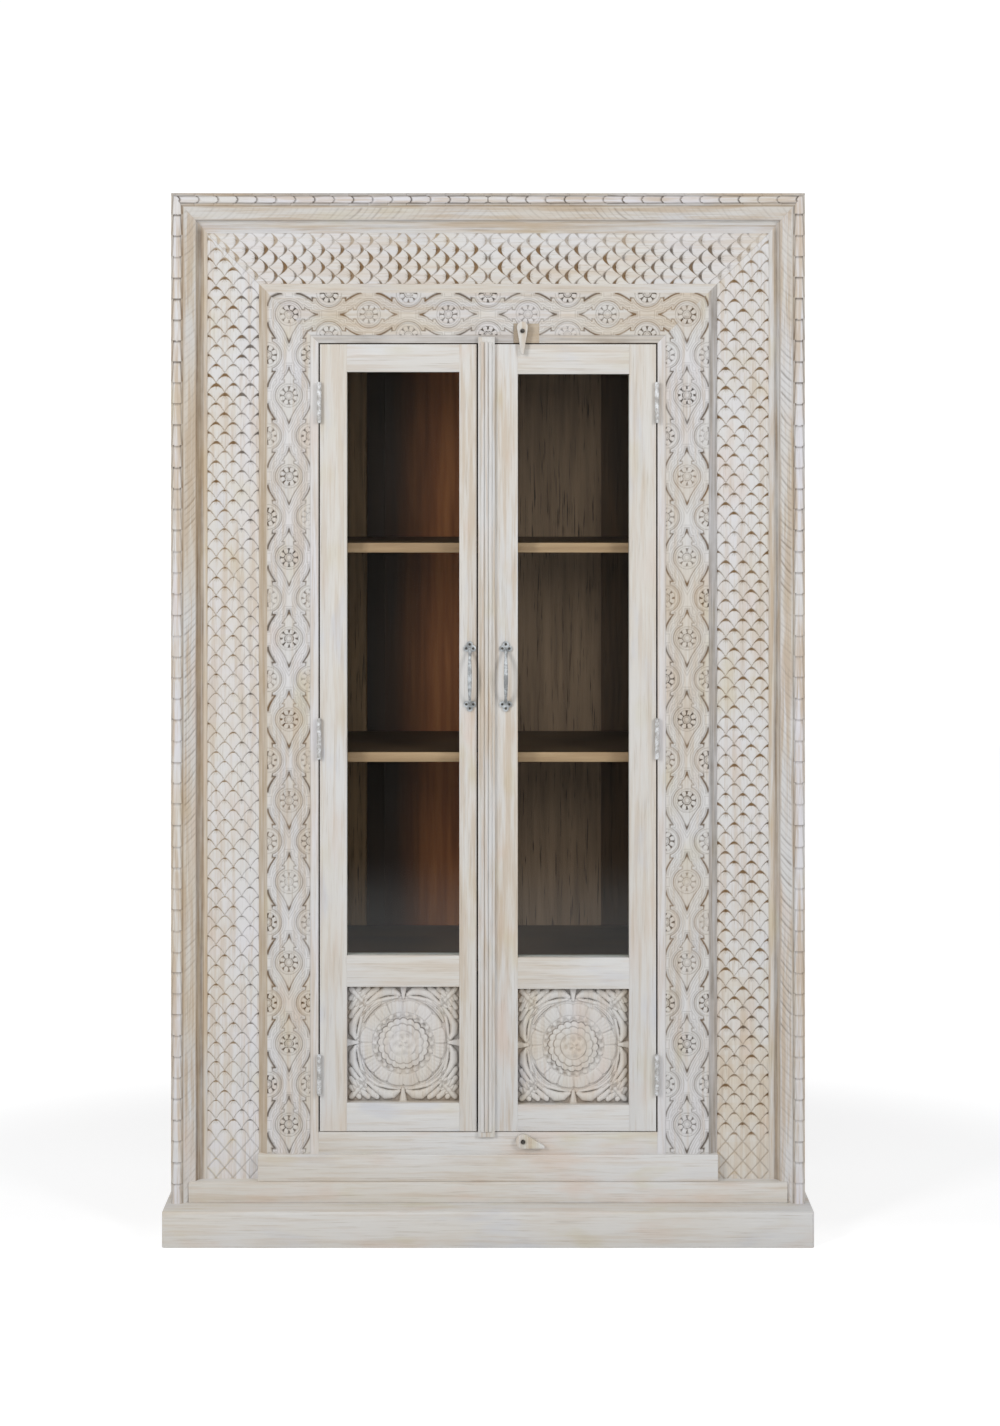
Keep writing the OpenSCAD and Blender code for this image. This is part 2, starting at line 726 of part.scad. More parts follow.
module top_lattice() {
    x_mid = (x_floral + x_plain) / 2;
    pitch = 2 * x_mid / (top_rosettes - 1);
    z0 = z_open + plain_h;
    intersection() {
        union() {
            for (side = [LEFT, RIGHT]) on_side(side)
                translate([x_mid, z_rosette]) cartouche(cartouche_r, cartouche_tip, CORNER_ENDS);
            for (i = [1:top_rosettes - 2])
                translate([i * pitch - x_mid, z_rosette]) rotate(90) cartouche(cartouche_r, cartouche_tip);
            for (z = [z0, z0 + floral_h], i = [0:top_rosettes - 2])
                translate([(i + 0.5) * pitch - x_mid, z]) rotate(90) cartouche(edge_cartouche_r, edge_cartouche_tip);
        }
        translate([-x_plain - floral_w, z0 + BAND_EDGE]) square([2 * (x_plain + floral_w), floral_h - 2 * BAND_EDGE]);
    }
}

module inner_frame_side(side) {
    color(WHITEWASH) on_side(side) difference() {
        intersection() {
            extrude_up(x_scale, z_lower_rail, z_scale) frame_section(slope_w, floral_w + plain_w);
            front_outline(side_mitre(x_scale, z_scale, x_open - stop_w, z_open - stop_w, z_lower_rail),
                          face_d, front_t);
        }
        // the sill rail runs behind the end of the lip
        board(x_open - stop_w - 1, x_open, stop_d - 1, front_t + 1, z_lower_rail - 1, z_sill + stop_w);
        hinge_mortises(x_axis, hinge_gap / 2 + mortise_depth);
        front_drawing(face_d - 1, face_d + cartouche_cut) side_lattice();
    }
}

module inner_frame_top() {
    x0 = top_clasp_x - seat_left;
    color(WHITEWASH) difference() {
        intersection() {
            extrude_across(x_scale, z_scale) frame_section(slope_h, floral_h + plain_h);
            front_outline(top_mitre(x_scale, z_scale, x_open - stop_w, z_open - stop_w), face_d, front_t);
        }
        board(x0, x0 + seat_w, face_d - 1, face_d + seat_depth, z_open - 1, z_open + seat_h);
        along_y(top_clasp_x, z_open + top_clasp_rise, clasp_screw_r + FIT, face_d, front_t - screw_end);
        front_drawing(face_d - 1, face_d + cartouche_cut) top_lattice();
    }
}

// Lower rails
module base_rail() {
    color(WHITEWASH) board(-x_base_rail, x_base_rail, base_rail_d, front_t, plinth_h, z_base_rail);
}

module lower_rail() {
    color(WHITEWASH) board(-x_scale, x_scale, lower_rail_d, front_t, z_base_rail, z_lower_rail);
}

module sill_rail() {
    color(WHITEWASH) difference() {
        union() {
            board(-x_open, x_open, face_d, front_t, z_lower_rail, z_sill);
            board(-x_open, x_open, stop_d, front_t, z_sill - 1, z_sill + stop_w);
        }
        along_y(bottom_clasp_x, z_sill - bottom_clasp_fall, clasp_screw_r + FIT, face_d - 1, front_t - screw_end);
    }
}

// Hinges: each leaf lies in a mortise, and its knuckles stand in front of the door
mortise_depth = hinge_leaf_t + 0.2 - hinge_gap / 2;
knuckle_pitch = hinge_h / 5;
leaf_back = axis_d + knuckle_r + SEAT + hinge_leaf_w;

// Space for the leaves at each hinge, reaching sideways from the axis
module hinge_mortises(x, reach)
    for (z = hinge_zs) board(x, x + reach, 0, leaf_back, z - hinge_h / 2, z + hinge_h / 2);

module hinge_leaves(dir, knuckles) {
    plate_d = axis_d + knuckle_r + SEAT;
    x0 = dir > 0 ? 0.2 : -0.2 - hinge_leaf_t;
    for (z = hinge_zs) translate([x_axis, 0, z - hinge_h / 2]) difference() {
        union() {
            board(x0, x0 + hinge_leaf_t, plate_d, leaf_back, 0, hinge_h);
            for (k = knuckles) {
                z0 = k * knuckle_pitch + (k > 0 ? SEAT / 2 : 0);
                z1 = (k + 1) * knuckle_pitch - (k < 4 ? SEAT / 2 : 0);
                board(x0, x0 + hinge_leaf_t, axis_d + pin_r, plate_d + 0.01, z0, z1);
                translate([0, front_y + axis_d, z0]) cylinder(r = knuckle_r, h = z1 - z0);
            }
        }
        translate([0, front_y + axis_d, -1]) cylinder(r = pin_r + FIT, h = hinge_h + 2);
    }
}

module frame_hinge_leaves(side) {
    color(STEEL) on_side(side) hinge_leaves(1, [0, 2, 4]);
}

module door_hinge_leaves(side) {
    color(STEEL) on_side(side) hinge_leaves(-1, [1, 3]);
}

module hinge_pins() {
    head = 1.2;
    color(STEEL) for (side = [LEFT, RIGHT], z = hinge_zs) on_side(side)
        translate([x_axis, front_y + axis_d, z - hinge_h / 2]) {
            cylinder(r = pin_r, h = hinge_h);
            for (z0 = [-head, hinge_h]) translate([0, 0, z0]) cylinder(r = knuckle_r - 1, h = head);
        }
}

// Door frames
module rebates(side) {
    x = window_x(side);
    z = window_z(side);
    c = carved_z(side);
    board(x[0] - rebate_w, x[1] + rebate_w, door_face_d + glass_lip, door_back_d + 1,
          z[0] - rebate_w, z[1] + rebate_w);
    board(x[0] - rebate_w, x[1] + rebate_w, door_face_d + panel_lip, door_back_d + 1,
          c[0] - rebate_w, c[1] + rebate_w);
}

tenon_d = door_face_d + (door_t - tenon_t) / 2;
// Heights of a door's three rails
function rail_zs(side) = [[door_z0, carved_z(side)[0]],
                          [carved_z(side)[1], window_z(side)[0]],
                          [window_z(side)[1], door_z1]];

module tenons(side, grow) {
    x = window_x(side);
    for (z = rail_zs(side))
        board(x[0] - tenon_l - grow, x[1] + tenon_l + grow, tenon_d - grow, tenon_d + tenon_t + grow,
              z[0] + rebate_w + TENON_INSET - grow, z[1] - rebate_w - TENON_INSET + grow);
}

module hinge_stile(side) {
    x = window_x(side);
    color(WHITEWASH) difference() {
        if (side == LEFT) board(-x_hinge_edge, x[0], door_face_d, door_back_d, door_z0, door_z1);
        else board(x[1], x_hinge_edge, door_face_d, door_back_d, door_z0, door_z1);
        rebates(side);
        tenons(side, JOINT);
        on_side(side) hinge_mortises(x_hinge_edge - mortise_depth, hinge_gap);
    }
}

module meeting_stile(side) {
    x = window_x(side);
    color(WHITEWASH) difference() {
        if (side == LEFT) board(x[1], x_left_edge, door_face_d, door_back_d, door_z0, door_z1);
        else board(x_right_edge, x[0], door_face_d, door_back_d, door_z0, door_z1);
        rebates(side);
        tenons(side, JOINT);
        handle_screw_shanks(side, FIT, 1);
    }
}

module door_rails(side) {
    x = window_x(side);
    color(WHITEWASH) difference() {
        union() {
            for (z = rail_zs(side)) board(x[0], x[1], door_face_d, door_back_d, z[0], z[1]);
            tenons(side, 0);
        }
        intersection() {
            rebates(side);
            board(x[0], x[1], door_face_d - 1, door_back_d + 1, door_z0, door_z1);
        }
    }
}

module door_glass(side) {
    x = window_x(side);
    z = window_z(side);
    e = rebate_w - glass_play;
    d = door_face_d + glass_lip;
    color(GLASS) board(x[0] - e, x[1] + e, d, d + glass_t, z[0] - e, z[1] + e);
}

module glass_beads(side) {
    e = rebate_w - JOINT;
    x = [window_x(side)[0] - e, window_x(side)[1] + e];
    z = [window_z(side)[0] - e, window_z(side)[1] + e];
    d = door_face_d + glass_lip + glass_t;
    color(WHITEWASH) {
        for (z0 = [z[0], z[1] - bead_w]) board(x[0], x[1], d, d + bead_t, z0, z0 + bead_w);
        for (x0 = [x[0], x[1] - bead_w])
            board(x0, x0 + bead_w, d, d + bead_t, z[0] + bead_w + JOINT, z[1] - bead_w - JOINT);
    }
}

// Carved panel: a ground board with a border, a flower in rising rings, a ribbon round it, and in each corner
// two leaves of round fingers that start from knots at the middles of the sides
module carved_panel(side) {
    e = rebate_w - JOINT;
    x = window_x(side);
    z = carved_z(side);
    w = x[1] - x[0];
    h = z[1] - z[0];
    d0 = door_face_d + panel_lip;
    color(WHITEWASH) {
        board(x[0] - e, x[1] + e, d0 + carved_t - ground_t, d0 + carved_t, z[0] - e, z[1] + e);
        on_front((x[0] + x[1]) / 2, (z[0] + z[1]) / 2, d0 + carved_t - ground_t) {
            linear_extrude(carved_t - ground_t) difference() {
                square([w + 2 * e, h + 2 * e], center = true);
                square([w, h], center = true);
            }
            flower();
            ribbon();
            panel_leaves(w, h);
        }
    }
}

// Heights of the carving above its ground
bud_rise = carved_t - ground_t;
inner_rise = bud_rise * INNER_SHARE;
outer_rise = bud_rise * OUTER_SHARE;
bead_seat = outer_rise / 2;
leaf_root_r = flower_r + 1.5 * ribbon_w;

// A ring whose back is a round hump between two radii
module humped_ring(r0, r1, rise) {
    half = (r1 - r0) / 2;
    hump_r = (half * half + rise * rise) / (2 * rise) + rise;
    rotate_extrude() intersection() {
        translate([(r0 + r1) / 2, rise - hump_r]) circle(hump_r);
        translate([r0, 0]) square([r1 - r0, rise + 1]);
    }
}

// Straight cuts of diamond section between petals, turned aside by the sweep
module petal_cuts(count, r0, r1, rise, sweep)
    for (i = [0:count - 1]) rotate(360 * (i + 0.5) / count) translate([r0, 0, rise])
        rotate([0, 0, sweep]) rotate([45, 0, 0])
            translate([0, -PETAL_GAP / 2, -PETAL_GAP / 2]) cube([r1 - r0, PETAL_GAP, PETAL_GAP]);

module flower() {
    ring_r = inner_flower_r + bead_r;
    inner_r = inner_flower_r - bead_r;
    // outer petals
    difference() {
        intersection() {
            humped_ring(ring_r, flower_r + 3, outer_rise);
            linear_extrude(bud_rise) petal_ring(flower_r, petals);
        }
        petal_cuts(petals, ring_r + 2, flower_r, outer_rise, 0);
    }
    // beads in a ring
    cylinder(r = ring_r + 1, h = bead_seat);
    for (i = [0:beads - 1]) rotate(360 * i / beads)
        translate([inner_flower_r, 0, bead_seat + BEAD_LIFT]) sphere(bead_r);
    // inner petals, swept round the bud
    difference() {
        intersection() {
            humped_ring(bud_r - 6, inner_r + 4, inner_rise);
            linear_extrude(bud_rise) petal_ring(inner_r, inner_petals);
        }
        petal_cuts(inner_petals, bud_r + 3, inner_r, inner_rise, SWEEP);
    }
    bud();
}

// The bud: low domes of round petals, one on another, each ring set between the petals below
module bud()
    for (ring = [0:BUD_RINGS - 1]) {
        r = bud_r * (1 - ring / BUD_RINGS);
        dome_r = (r * r + BUD_DOME * BUD_DOME) / (2 * BUD_DOME);
        top = bud_rise - (BUD_RINGS - 1 - ring) * BUD_STEP;
        intersection() {
            translate([0, 0, top - dome_r]) sphere(dome_r);
            rotate(BUD_TURN * ring) linear_extrude(bud_rise) petal_ring(r, BUD_PETALS - ring);
        }
    }

// A finger of a leaf: a round bar that stands out of the ground at its root and sinks into it at its tip
module finger(root, tip) {
    way = tip - root;
    length = norm(way);
    translate([root[0], root[1], finger_rise - finger_r]) rotate([0, 0, atan2(way[1], way[0])])
        rotate([0, 90 + atan(finger_rise / length), 0]) cylinder(r = finger_r, h = length);
}

// Half of a side's leaves: the fingers start along the ribbon and run out to the frame, first nearly along it
module leaf(distance) {
    for (k = [1:FINGERS]) {
        a = LEAF_ANGLE * k / FINGERS;
        root = [leaf_root_r * sin(a), leaf_root_r * cos(a)];
        finger(root, [root[0] + FINGER_RUN, distance - LEAF_EDGE]);
    }
}

module panel_leaves(w, h)
    intersection() {
        union() {
            for (mx = [0, 1], mz = [0, 1]) mirror([mx, 0, 0]) mirror([0, mz, 0]) {
                leaf(h / 2);
                mirror([1, -1, 0]) leaf(w / 2);
                finger([leaf_root_r, leaf_root_r] * sin(45), [w / 2 - LEAF_EDGE, h / 2 - LEAF_EDGE]);
            }
            // ties at the middles of the sides
            for (end = [-1, 1]) {
                finger([0, end * leaf_root_r], [0, end * h / 2]);
                finger([end * leaf_root_r, 0], [end * w / 2, 0]);
            }
        }
        translate([-w / 2 - 1, -h / 2 - 1, -ground_t / 2]) cube([w + 2, h + 2, carved_t]);
    }

// Ribbon round the flower
module ribbon() {
    ribbon_r = flower_r + ribbon_w;
    rotate_extrude() intersection() {
        translate([ribbon_r, 0]) circle(ribbon_w);
        translate([ribbon_r - ribbon_w, 0]) square(2 * ribbon_w);
    }
}

// A disc edged by round petals that touch one another
module petal_ring(r, count) {
    petal_r = r * sin(180 / count) / (1 + sin(180 / count));
    circle(r - petal_r);
    for (i = [0:count - 1]) rotate(360 * i / count) translate([r - petal_r, 0]) circle(petal_r);
}

// Astragal: three reeds side by side on a flat strip, with round stops at their ends
module astragal() {
    z0 = door_z0 - astragal_bottom_lap;
    z1 = door_z1 + astragal_top_lap;
    flat_d = door_face_d - astragal_t + reed_r;
    reed_ends = [z0 + reed_stop + reed_r, z1 - reed_stop - reed_r];
    color(WHITEWASH) {
        board(x_right_edge, x_right_edge + astragal_w, flat_d, door_face_d, z0, z1);
        for (i = [-1:1])
            translate([x_right_edge + astragal_w / 2 + i * (2 * reed_r + reed_gap), front_y + flat_d, 0]) {
                translate([0, 0, reed_ends[0]]) cylinder(r = reed_r, h = reed_ends[1] - reed_ends[0]);
                for (z = reed_ends) translate([0, 0, z]) sphere(reed_r);
            }
    }
}

// Handles: a bowed bar between two ends of three lobes
bow_reach = handle_bow - bar_t / 2 - lobe_t / 2;
bow_r = (pow(handle_span / 2, 2) + pow(bow_reach, 2)) / (2 * bow_reach);
bow_angle = 2 * asin(handle_span / 2 / bow_r);
lobe_at = lobe_r + 1;
function handle_x(side) = side == LEFT
    ? x_left_edge - left_handle_inset
    : x_right_edge + astragal_w + right_handle_inset;

// Places of the three lobes of the upper end, the lower end being its mirror image
lobe_places = [[-lobe_at + 1, 0], [lobe_at - 1, 0], [0, lobe_at + 1]];
handle_screw_r = 1.4;
handle_screw_l = 14;
handle_screw_head = 0.8;
handle_head_lap = 1;
// The two screws beside the bar stand clear of it by their heads
screw_at = bar_w / 2 + handle_screw_r + handle_head_lap + SEAT;
screw_places = [[-screw_at, 0], [screw_at, 0], lobe_places[2]];

module handle(side) {
    color(IRON) translate([handle_x(side), front_y + door_face_d, handle_z]) difference() {
        union() {
            for (up = [0, 1]) mirror([0, 0, up]) translate([0, 0, handle_span / 2]) rotate([90, 0, 0]) {
                for (p = lobe_places) translate(p) cylinder(r = lobe_r, h = lobe_t);
                cylinder(r = lobe_r, h = lobe_t);
            }
            // the bar bends round an axis along X behind the door's face
            translate([0, bow_r - bow_reach - lobe_t / 2, 0])
                rotate([-90, 0, 0]) rotate([0, 90, 0]) rotate([0, 0, -bow_angle / 2])
                rotate_extrude(angle = bow_angle, $fn = 72) translate([bow_r, 0]) bar_section();
        }
        for (up = [0, 1]) mirror([0, 0, up]) translate([0, 1, handle_span / 2]) rotate([90, 0, 0])
            for (p = screw_places) translate(p) cylinder(r = handle_screw_r + FIT, h = lobe_t + 2);
        // nothing of the bar reaches into the door
        translate([-bar_w, 0, -handle_span]) cube([2 * bar_w, handle_bow, 2 * handle_span]);
    }
}

module bar_section() {
    r = bar_t / 2;
    square([bar_t, bar_w - bar_t], center = true);
    for (y = [-1, 1]) translate([0, y * (bar_w / 2 - r)]) circle(r);
}

// Puts what is drawn at each screw of a handle, with Z pointing out of the door
module at_handle_screws(side)
    translate([handle_x(side), front_y + door_face_d, handle_z])
        for (up = [0, 1]) mirror([0, 0, up]) translate([0, 0, handle_span / 2]) rotate([90, 0, 0])
            for (p = screw_places) translate([p[0], p[1], 0]) children();

module handle_screw_shanks(side, grow, above)
    at_handle_screws(side) translate([0, 0, -handle_screw_l])
        cylinder(r = handle_screw_r + grow, h = handle_screw_l + above);

module handle_screws(side) {
    color(IRON) {
        handle_screw_shanks(side, 0, lobe_t);
        at_handle_screws(side) translate([0, 0, lobe_t])
            cylinder(r = handle_screw_r + handle_head_lap, h = handle_screw_head);
    }
}

// Wooden clasps: a round head drawn out to a narrow tail, turning on a screw
screw_end = 8;
clasp_tip_r = 2.5;

// Outline with the screw at the origin and the tail pointing down
module clasp_outline(head_r, head_rise, tail) {
    reach = tail - clasp_tip_r + head_rise;
    a = acos((head_r - clasp_tip_r) / reach);
    translate([0, head_rise]) circle(head_r);
    translate([0, clasp_tip_r - tail]) circle(clasp_tip_r);
    polygon([[head_r * sin(a), head_rise - head_r * cos(a)],
             [clasp_tip_r * sin(a), clasp_tip_r - tail - clasp_tip_r * cos(a)],
             [-clasp_tip_r * sin(a), clasp_tip_r - tail - clasp_tip_r * cos(a)],
             [-head_r * sin(a), head_rise - head_r * cos(a)]]);
}

clasp_back_d = door_face_d - clasp_gap;
module clasp(x, z, turn, head_r, head_rise, tail, boss_d) {
    color(WHITEWASH) translate([x, front_y + clasp_back_d, z]) rotate([90, 0, 0]) rotate([0, 0, turn])
        difference() {
            union() {
                linear_extrude(clasp_t) clasp_outline(head_r, head_rise, tail);
                // boss that holds the clasp off the wood behind it
                translate([0, 0, clasp_back_d - boss_d]) cylinder(r = clasp_screw_r + 3, h = boss_d - clasp_back_d + 1);
            }
            translate([0, 0, -clasp_t]) cylinder(r = clasp_screw_r + FIT, h = 3 * clasp_t);
        }
}

module top_clasp() {
    clasp(top_clasp_x, z_open + top_clasp_rise, 0, top_head_r, top_head_rise, top_tail,
          face_d + seat_depth - SEAT);
}

module bottom_clasp() {
    clasp(bottom_clasp_x, z_sill - bottom_clasp_fall, 90 - bottom_droop, bottom_head_r, 0, bottom_tail,
          face_d - SEAT);
}

module clasp_screws() {
    head_h = 2;
    color(IRON) for (p = [[top_clasp_x, z_open + top_clasp_rise], [bottom_clasp_x, z_sill - bottom_clasp_fall]]) {
        along_y(p[0], p[1], clasp_screw_r, clasp_back_d - clasp_t - SEAT - 0.1, front_t - screw_end);
        along_y(p[0], p[1], clasp_screw_r * 2.2, clasp_back_d - clasp_t - SEAT - head_h,
                clasp_back_d - clasp_t - SEAT);
    }
}

plinth_front();
plinth_back();
plinth_returns();
side_stiles(LEFT);  // side_stiles_left
side_rails(LEFT);  // side_rails_left
side_panels(LEFT);  // side_panels_left
side_stiles(RIGHT);  // side_stiles_right
side_rails(RIGHT);  // side_rails_right
side_panels(RIGHT);  // side_panels_right
top_board();
floor_board();
shelf(3);  // shelf_top
shelf(2);  // shelf_middle
shelf(1);  // shelf_bottom
shelf_cleats();
back_boards_left();
back_narrow_board();
back_panel_left();
back_panel_right();
back_boards_right();
back_battens();
outer_moulding_side(LEFT);  // outer_moulding_left
outer_moulding_side(RIGHT);  // outer_moulding_right
outer_moulding_top();
scale_board_side(LEFT);  // scale_board_left
scale_board_side(RIGHT);  // scale_board_right
scale_board_top();
inner_frame_side(LEFT);  // inner_frame_left
inner_frame_side(RIGHT);  // inner_frame_right
inner_frame_top();
base_rail();
lower_rail();
sill_rail();
frame_hinge_leaves(LEFT);  // frame_hinge_leaves_left
frame_hinge_leaves(RIGHT);  // frame_hinge_leaves_right
hinge_pins();
top_clasp();
bottom_clasp();
clasp_screws();
hinge_stile(LEFT);  // left_hinge_stile
meeting_stile(LEFT);  // left_meeting_stile
door_rails(LEFT);  // left_door_rails
door_glass(LEFT);  // left_glass
glass_beads(LEFT);  // left_glass_beads
carved_panel(LEFT);  // left_carved_panel
handle(LEFT);  // left_handle
handle_screws(LEFT);  // left_handle_screws
door_hinge_leaves(LEFT);  // left_hinge_leaves
hinge_stile(RIGHT);  // right_hinge_stile
meeting_stile(RIGHT);  // right_meeting_stile
door_rails(RIGHT);  // right_door_rails
door_glass(RIGHT);  // right_glass
glass_beads(RIGHT);  // right_glass_beads
carved_panel(RIGHT);  // right_carved_panel
handle(RIGHT);  // right_handle
handle_screws(RIGHT);  // right_handle_screws
door_hinge_leaves(RIGHT);  // right_hinge_leaves
astragal();
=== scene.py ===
"""A carved, whitewashed cabinet with two glazed doors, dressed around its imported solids.

The surround is worked out as carved fields: fish scales, an ogee band with rosettes, and a moulding of
overlapping tongues, leaf strokes and a hollow. Each door panel has a flower among leaves. All lengths are in
metres. Depths are measured backwards from the front plane of the outer moulding."""
from functools import partial
import json
import math

import bmesh
import bpy
import numpy as np
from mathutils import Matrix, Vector


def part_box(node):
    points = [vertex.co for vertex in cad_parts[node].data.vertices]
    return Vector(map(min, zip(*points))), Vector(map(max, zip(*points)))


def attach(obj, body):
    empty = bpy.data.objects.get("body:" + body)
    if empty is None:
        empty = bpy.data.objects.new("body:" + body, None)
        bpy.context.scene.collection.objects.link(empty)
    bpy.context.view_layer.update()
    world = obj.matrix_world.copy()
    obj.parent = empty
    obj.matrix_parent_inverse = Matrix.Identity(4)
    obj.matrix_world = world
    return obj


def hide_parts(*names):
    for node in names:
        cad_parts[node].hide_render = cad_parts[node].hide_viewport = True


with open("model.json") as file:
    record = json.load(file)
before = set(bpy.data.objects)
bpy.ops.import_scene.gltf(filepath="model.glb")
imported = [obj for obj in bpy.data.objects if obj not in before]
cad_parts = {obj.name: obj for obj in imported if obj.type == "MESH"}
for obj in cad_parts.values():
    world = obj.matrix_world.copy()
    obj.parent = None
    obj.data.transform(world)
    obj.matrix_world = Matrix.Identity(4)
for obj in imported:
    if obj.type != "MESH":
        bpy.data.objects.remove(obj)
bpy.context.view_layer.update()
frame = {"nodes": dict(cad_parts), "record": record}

LEFT, RIGHT = -1, 1
X, Y, Z = 0, 1, 2


# Planes and lines of the frame

def low(node):
    """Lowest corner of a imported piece."""
    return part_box(node)[0]


def high(node):
    """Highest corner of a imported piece."""
    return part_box(node)[1]


STOP_W, STOP_T = 0.008, 0.006                   # width and thickness of the lip that the doors rest on
LIP_STEP = 0.00005                              # width of the step down to it, so that it has its own points

FRONT = low("outer_moulding_top").y             # the front plane
BACK_D = high("outer_moulding_top").y - FRONT   # depth of the carved boards' backs
FIELD_D = low("scale_board_top").y - FRONT      # of the fish scales' face
FACE_D = low("inner_frame_top").y - FRONT       # of the inner frame's face
STOP_D = low("top_board").y - FRONT - STOP_T    # and of the lip

X_BODY = high("outer_moulding_right").x         # half widths, from the outside inwards
X_MOULDING = high("scale_board_right").x
X_SCALE = high("inner_frame_right").x
X_OPEN = high("sill_rail").x
X_BASE_RAIL = high("base_rail").x               # half the length of the base rail

Z_TOP = high("outer_moulding_top").z            # heights, from the top down to the doors' opening
Z_MOULDING = high("scale_board_top").z
Z_SCALE = high("inner_frame_top").z
Z_OPEN = low("inner_frame_top").z + STOP_W
Z_SILL = high("sill_rail").z - STOP_W           # and from its sill to the plinth
Z_LOWER = high("lower_rail").z
Z_BASE = high("base_rail").z
Z_PLINTH = low("base_rail").z

BODY_OF = {n: body for body, nodes in frame["record"]["behaviour"]["bodies"].items() for n in nodes}

CARVER = 7                                      # seed of the hand's unevenness


# Sizes of the carving

MOULDING_W, MOULDING_H = X_BODY - X_MOULDING, Z_TOP - Z_MOULDING
TONGUE_W, TONGUE_H = 0.022, 0.024               # the strip of tongues, at the sides and along the top
LEAF_W, LEAF_H = 0.024, 0.026                   # the strip of leaf strokes
LEAF_BACK_D = 0.014                             # depth of its inner edge
EDGE = 0.002                                    # worn arris of the tongue strip
LEAF_PITCH, LEAF_ACROSS = 0.0403, 0.030         # a leaf's width along the strip, and square to its strokes
SIDE_TONGUES = (LEAF_PITCH, 0.06, 0.88, 0.30, 0.8)           # pitch, sag, half width, taper and line
TOP_TONGUES = (0.0369, 0.27, 0.60, 0.10, 1.0)
COVE_SHADE_START = (0.052, 0.075)                   # the hollow's painted shade begins between these places below the top

SCALE_PITCH, SCALE_ROW = 0.033, 0.01865         # a scale's width and a row's height, at the sides
TOP_PITCH, TOP_ROW = 0.0342, 0.0184             # and along the top
TOP_FIRST = 0.0137                              # place of the first apex below the top board's edge
SCALE_HOLLOW, TOP_HOLLOW = 0.0056, 0.0068       # the hollow above a scale
LATTICE_Z = (0.178, 0.200)                      # plain lozenges below, scales above
# The turn of each short cut at a scale's apex, and the share of the scales that have lost it.
FAN = ((-0.50, 0.55), (0.0, 0.30), (0.50, 0.55))

SLOPE_W, PLAIN_W = 0.018, 0.016                 # the inner frame's bevel and plain strip, at the sides
SLOPE_H, PLAIN_H = 0.019, 0.015                 # and along the top
MIDDLE_CARTOUCHE = (0.0262, 0.054, 0.0297, 0.0138, 0.009)    # radius, tip, base, shoulder and neck
EDGE_CARTOUCHE = (0.027, 0.061, 0.0318, 0.0146, 0.009)
MIDDLE_RING_R, EDGE_RING_R = 0.0222, 0.0238     # fine cuts between rosettes and outlines
ROSETTE_R, ROSETTE_PITCH = 0.0184, 0.1556
ROSETTE_TOP, ROSETTE_END = 1.7695, 0.382        # height of the corners' rosettes, and their place in X
DOOR_GAP = 0.0007                               # painted shadow line beside the doors
CLASP_SEAT = (0.0485, 0.0985, Z_OPEN + 0.038)   # the top clasp's cut seat: left, right and upper edge
SEAT_DEPTH = 0.002


# Unevenness of the hand

def scatter(i, j, seed):
    """A number from 0 to 1 for each pair of whole numbers: what is left of a large sine above its floor."""
    large = np.sin(i * 12.9898 + j * 78.233 + seed * 37.719) * 43758.5453
    return large - np.floor(large)


def drift(x, y, size, seed):
    """Smooth unevenness from -1 to 1: scatter at the corners of squares of that size, blended by a cubic."""
    u, v = x / size, y / size
    i, j = np.floor(u), np.floor(v)
    f, g = u - i, v - j
    f, g = f * f * (3 - 2 * f), g * g * (3 - 2 * g)
    near = scatter(i, j, seed) * (1 - f) + scatter(i + 1, j, seed) * f
    far = scatter(i, j + 1, seed) * (1 - f) + scatter(i + 1, j + 1, seed) * f
    return 2 * (near * (1 - g) + far * g) - 1


def ease(value, start, end):
    """0 before start, 1 after end, and a cubic between them."""
    t = np.clip((value - start) / (end - start), 0, 1)
    return t * t * (3 - 2 * t)


def cut_line(distance, width):
    """1 on a line, falling off as a bell of that half width beside it."""
    return np.exp(-(distance / width) ** 2)


# Carved patterns: each gives a depth below its own face and a stain from 0 to 1

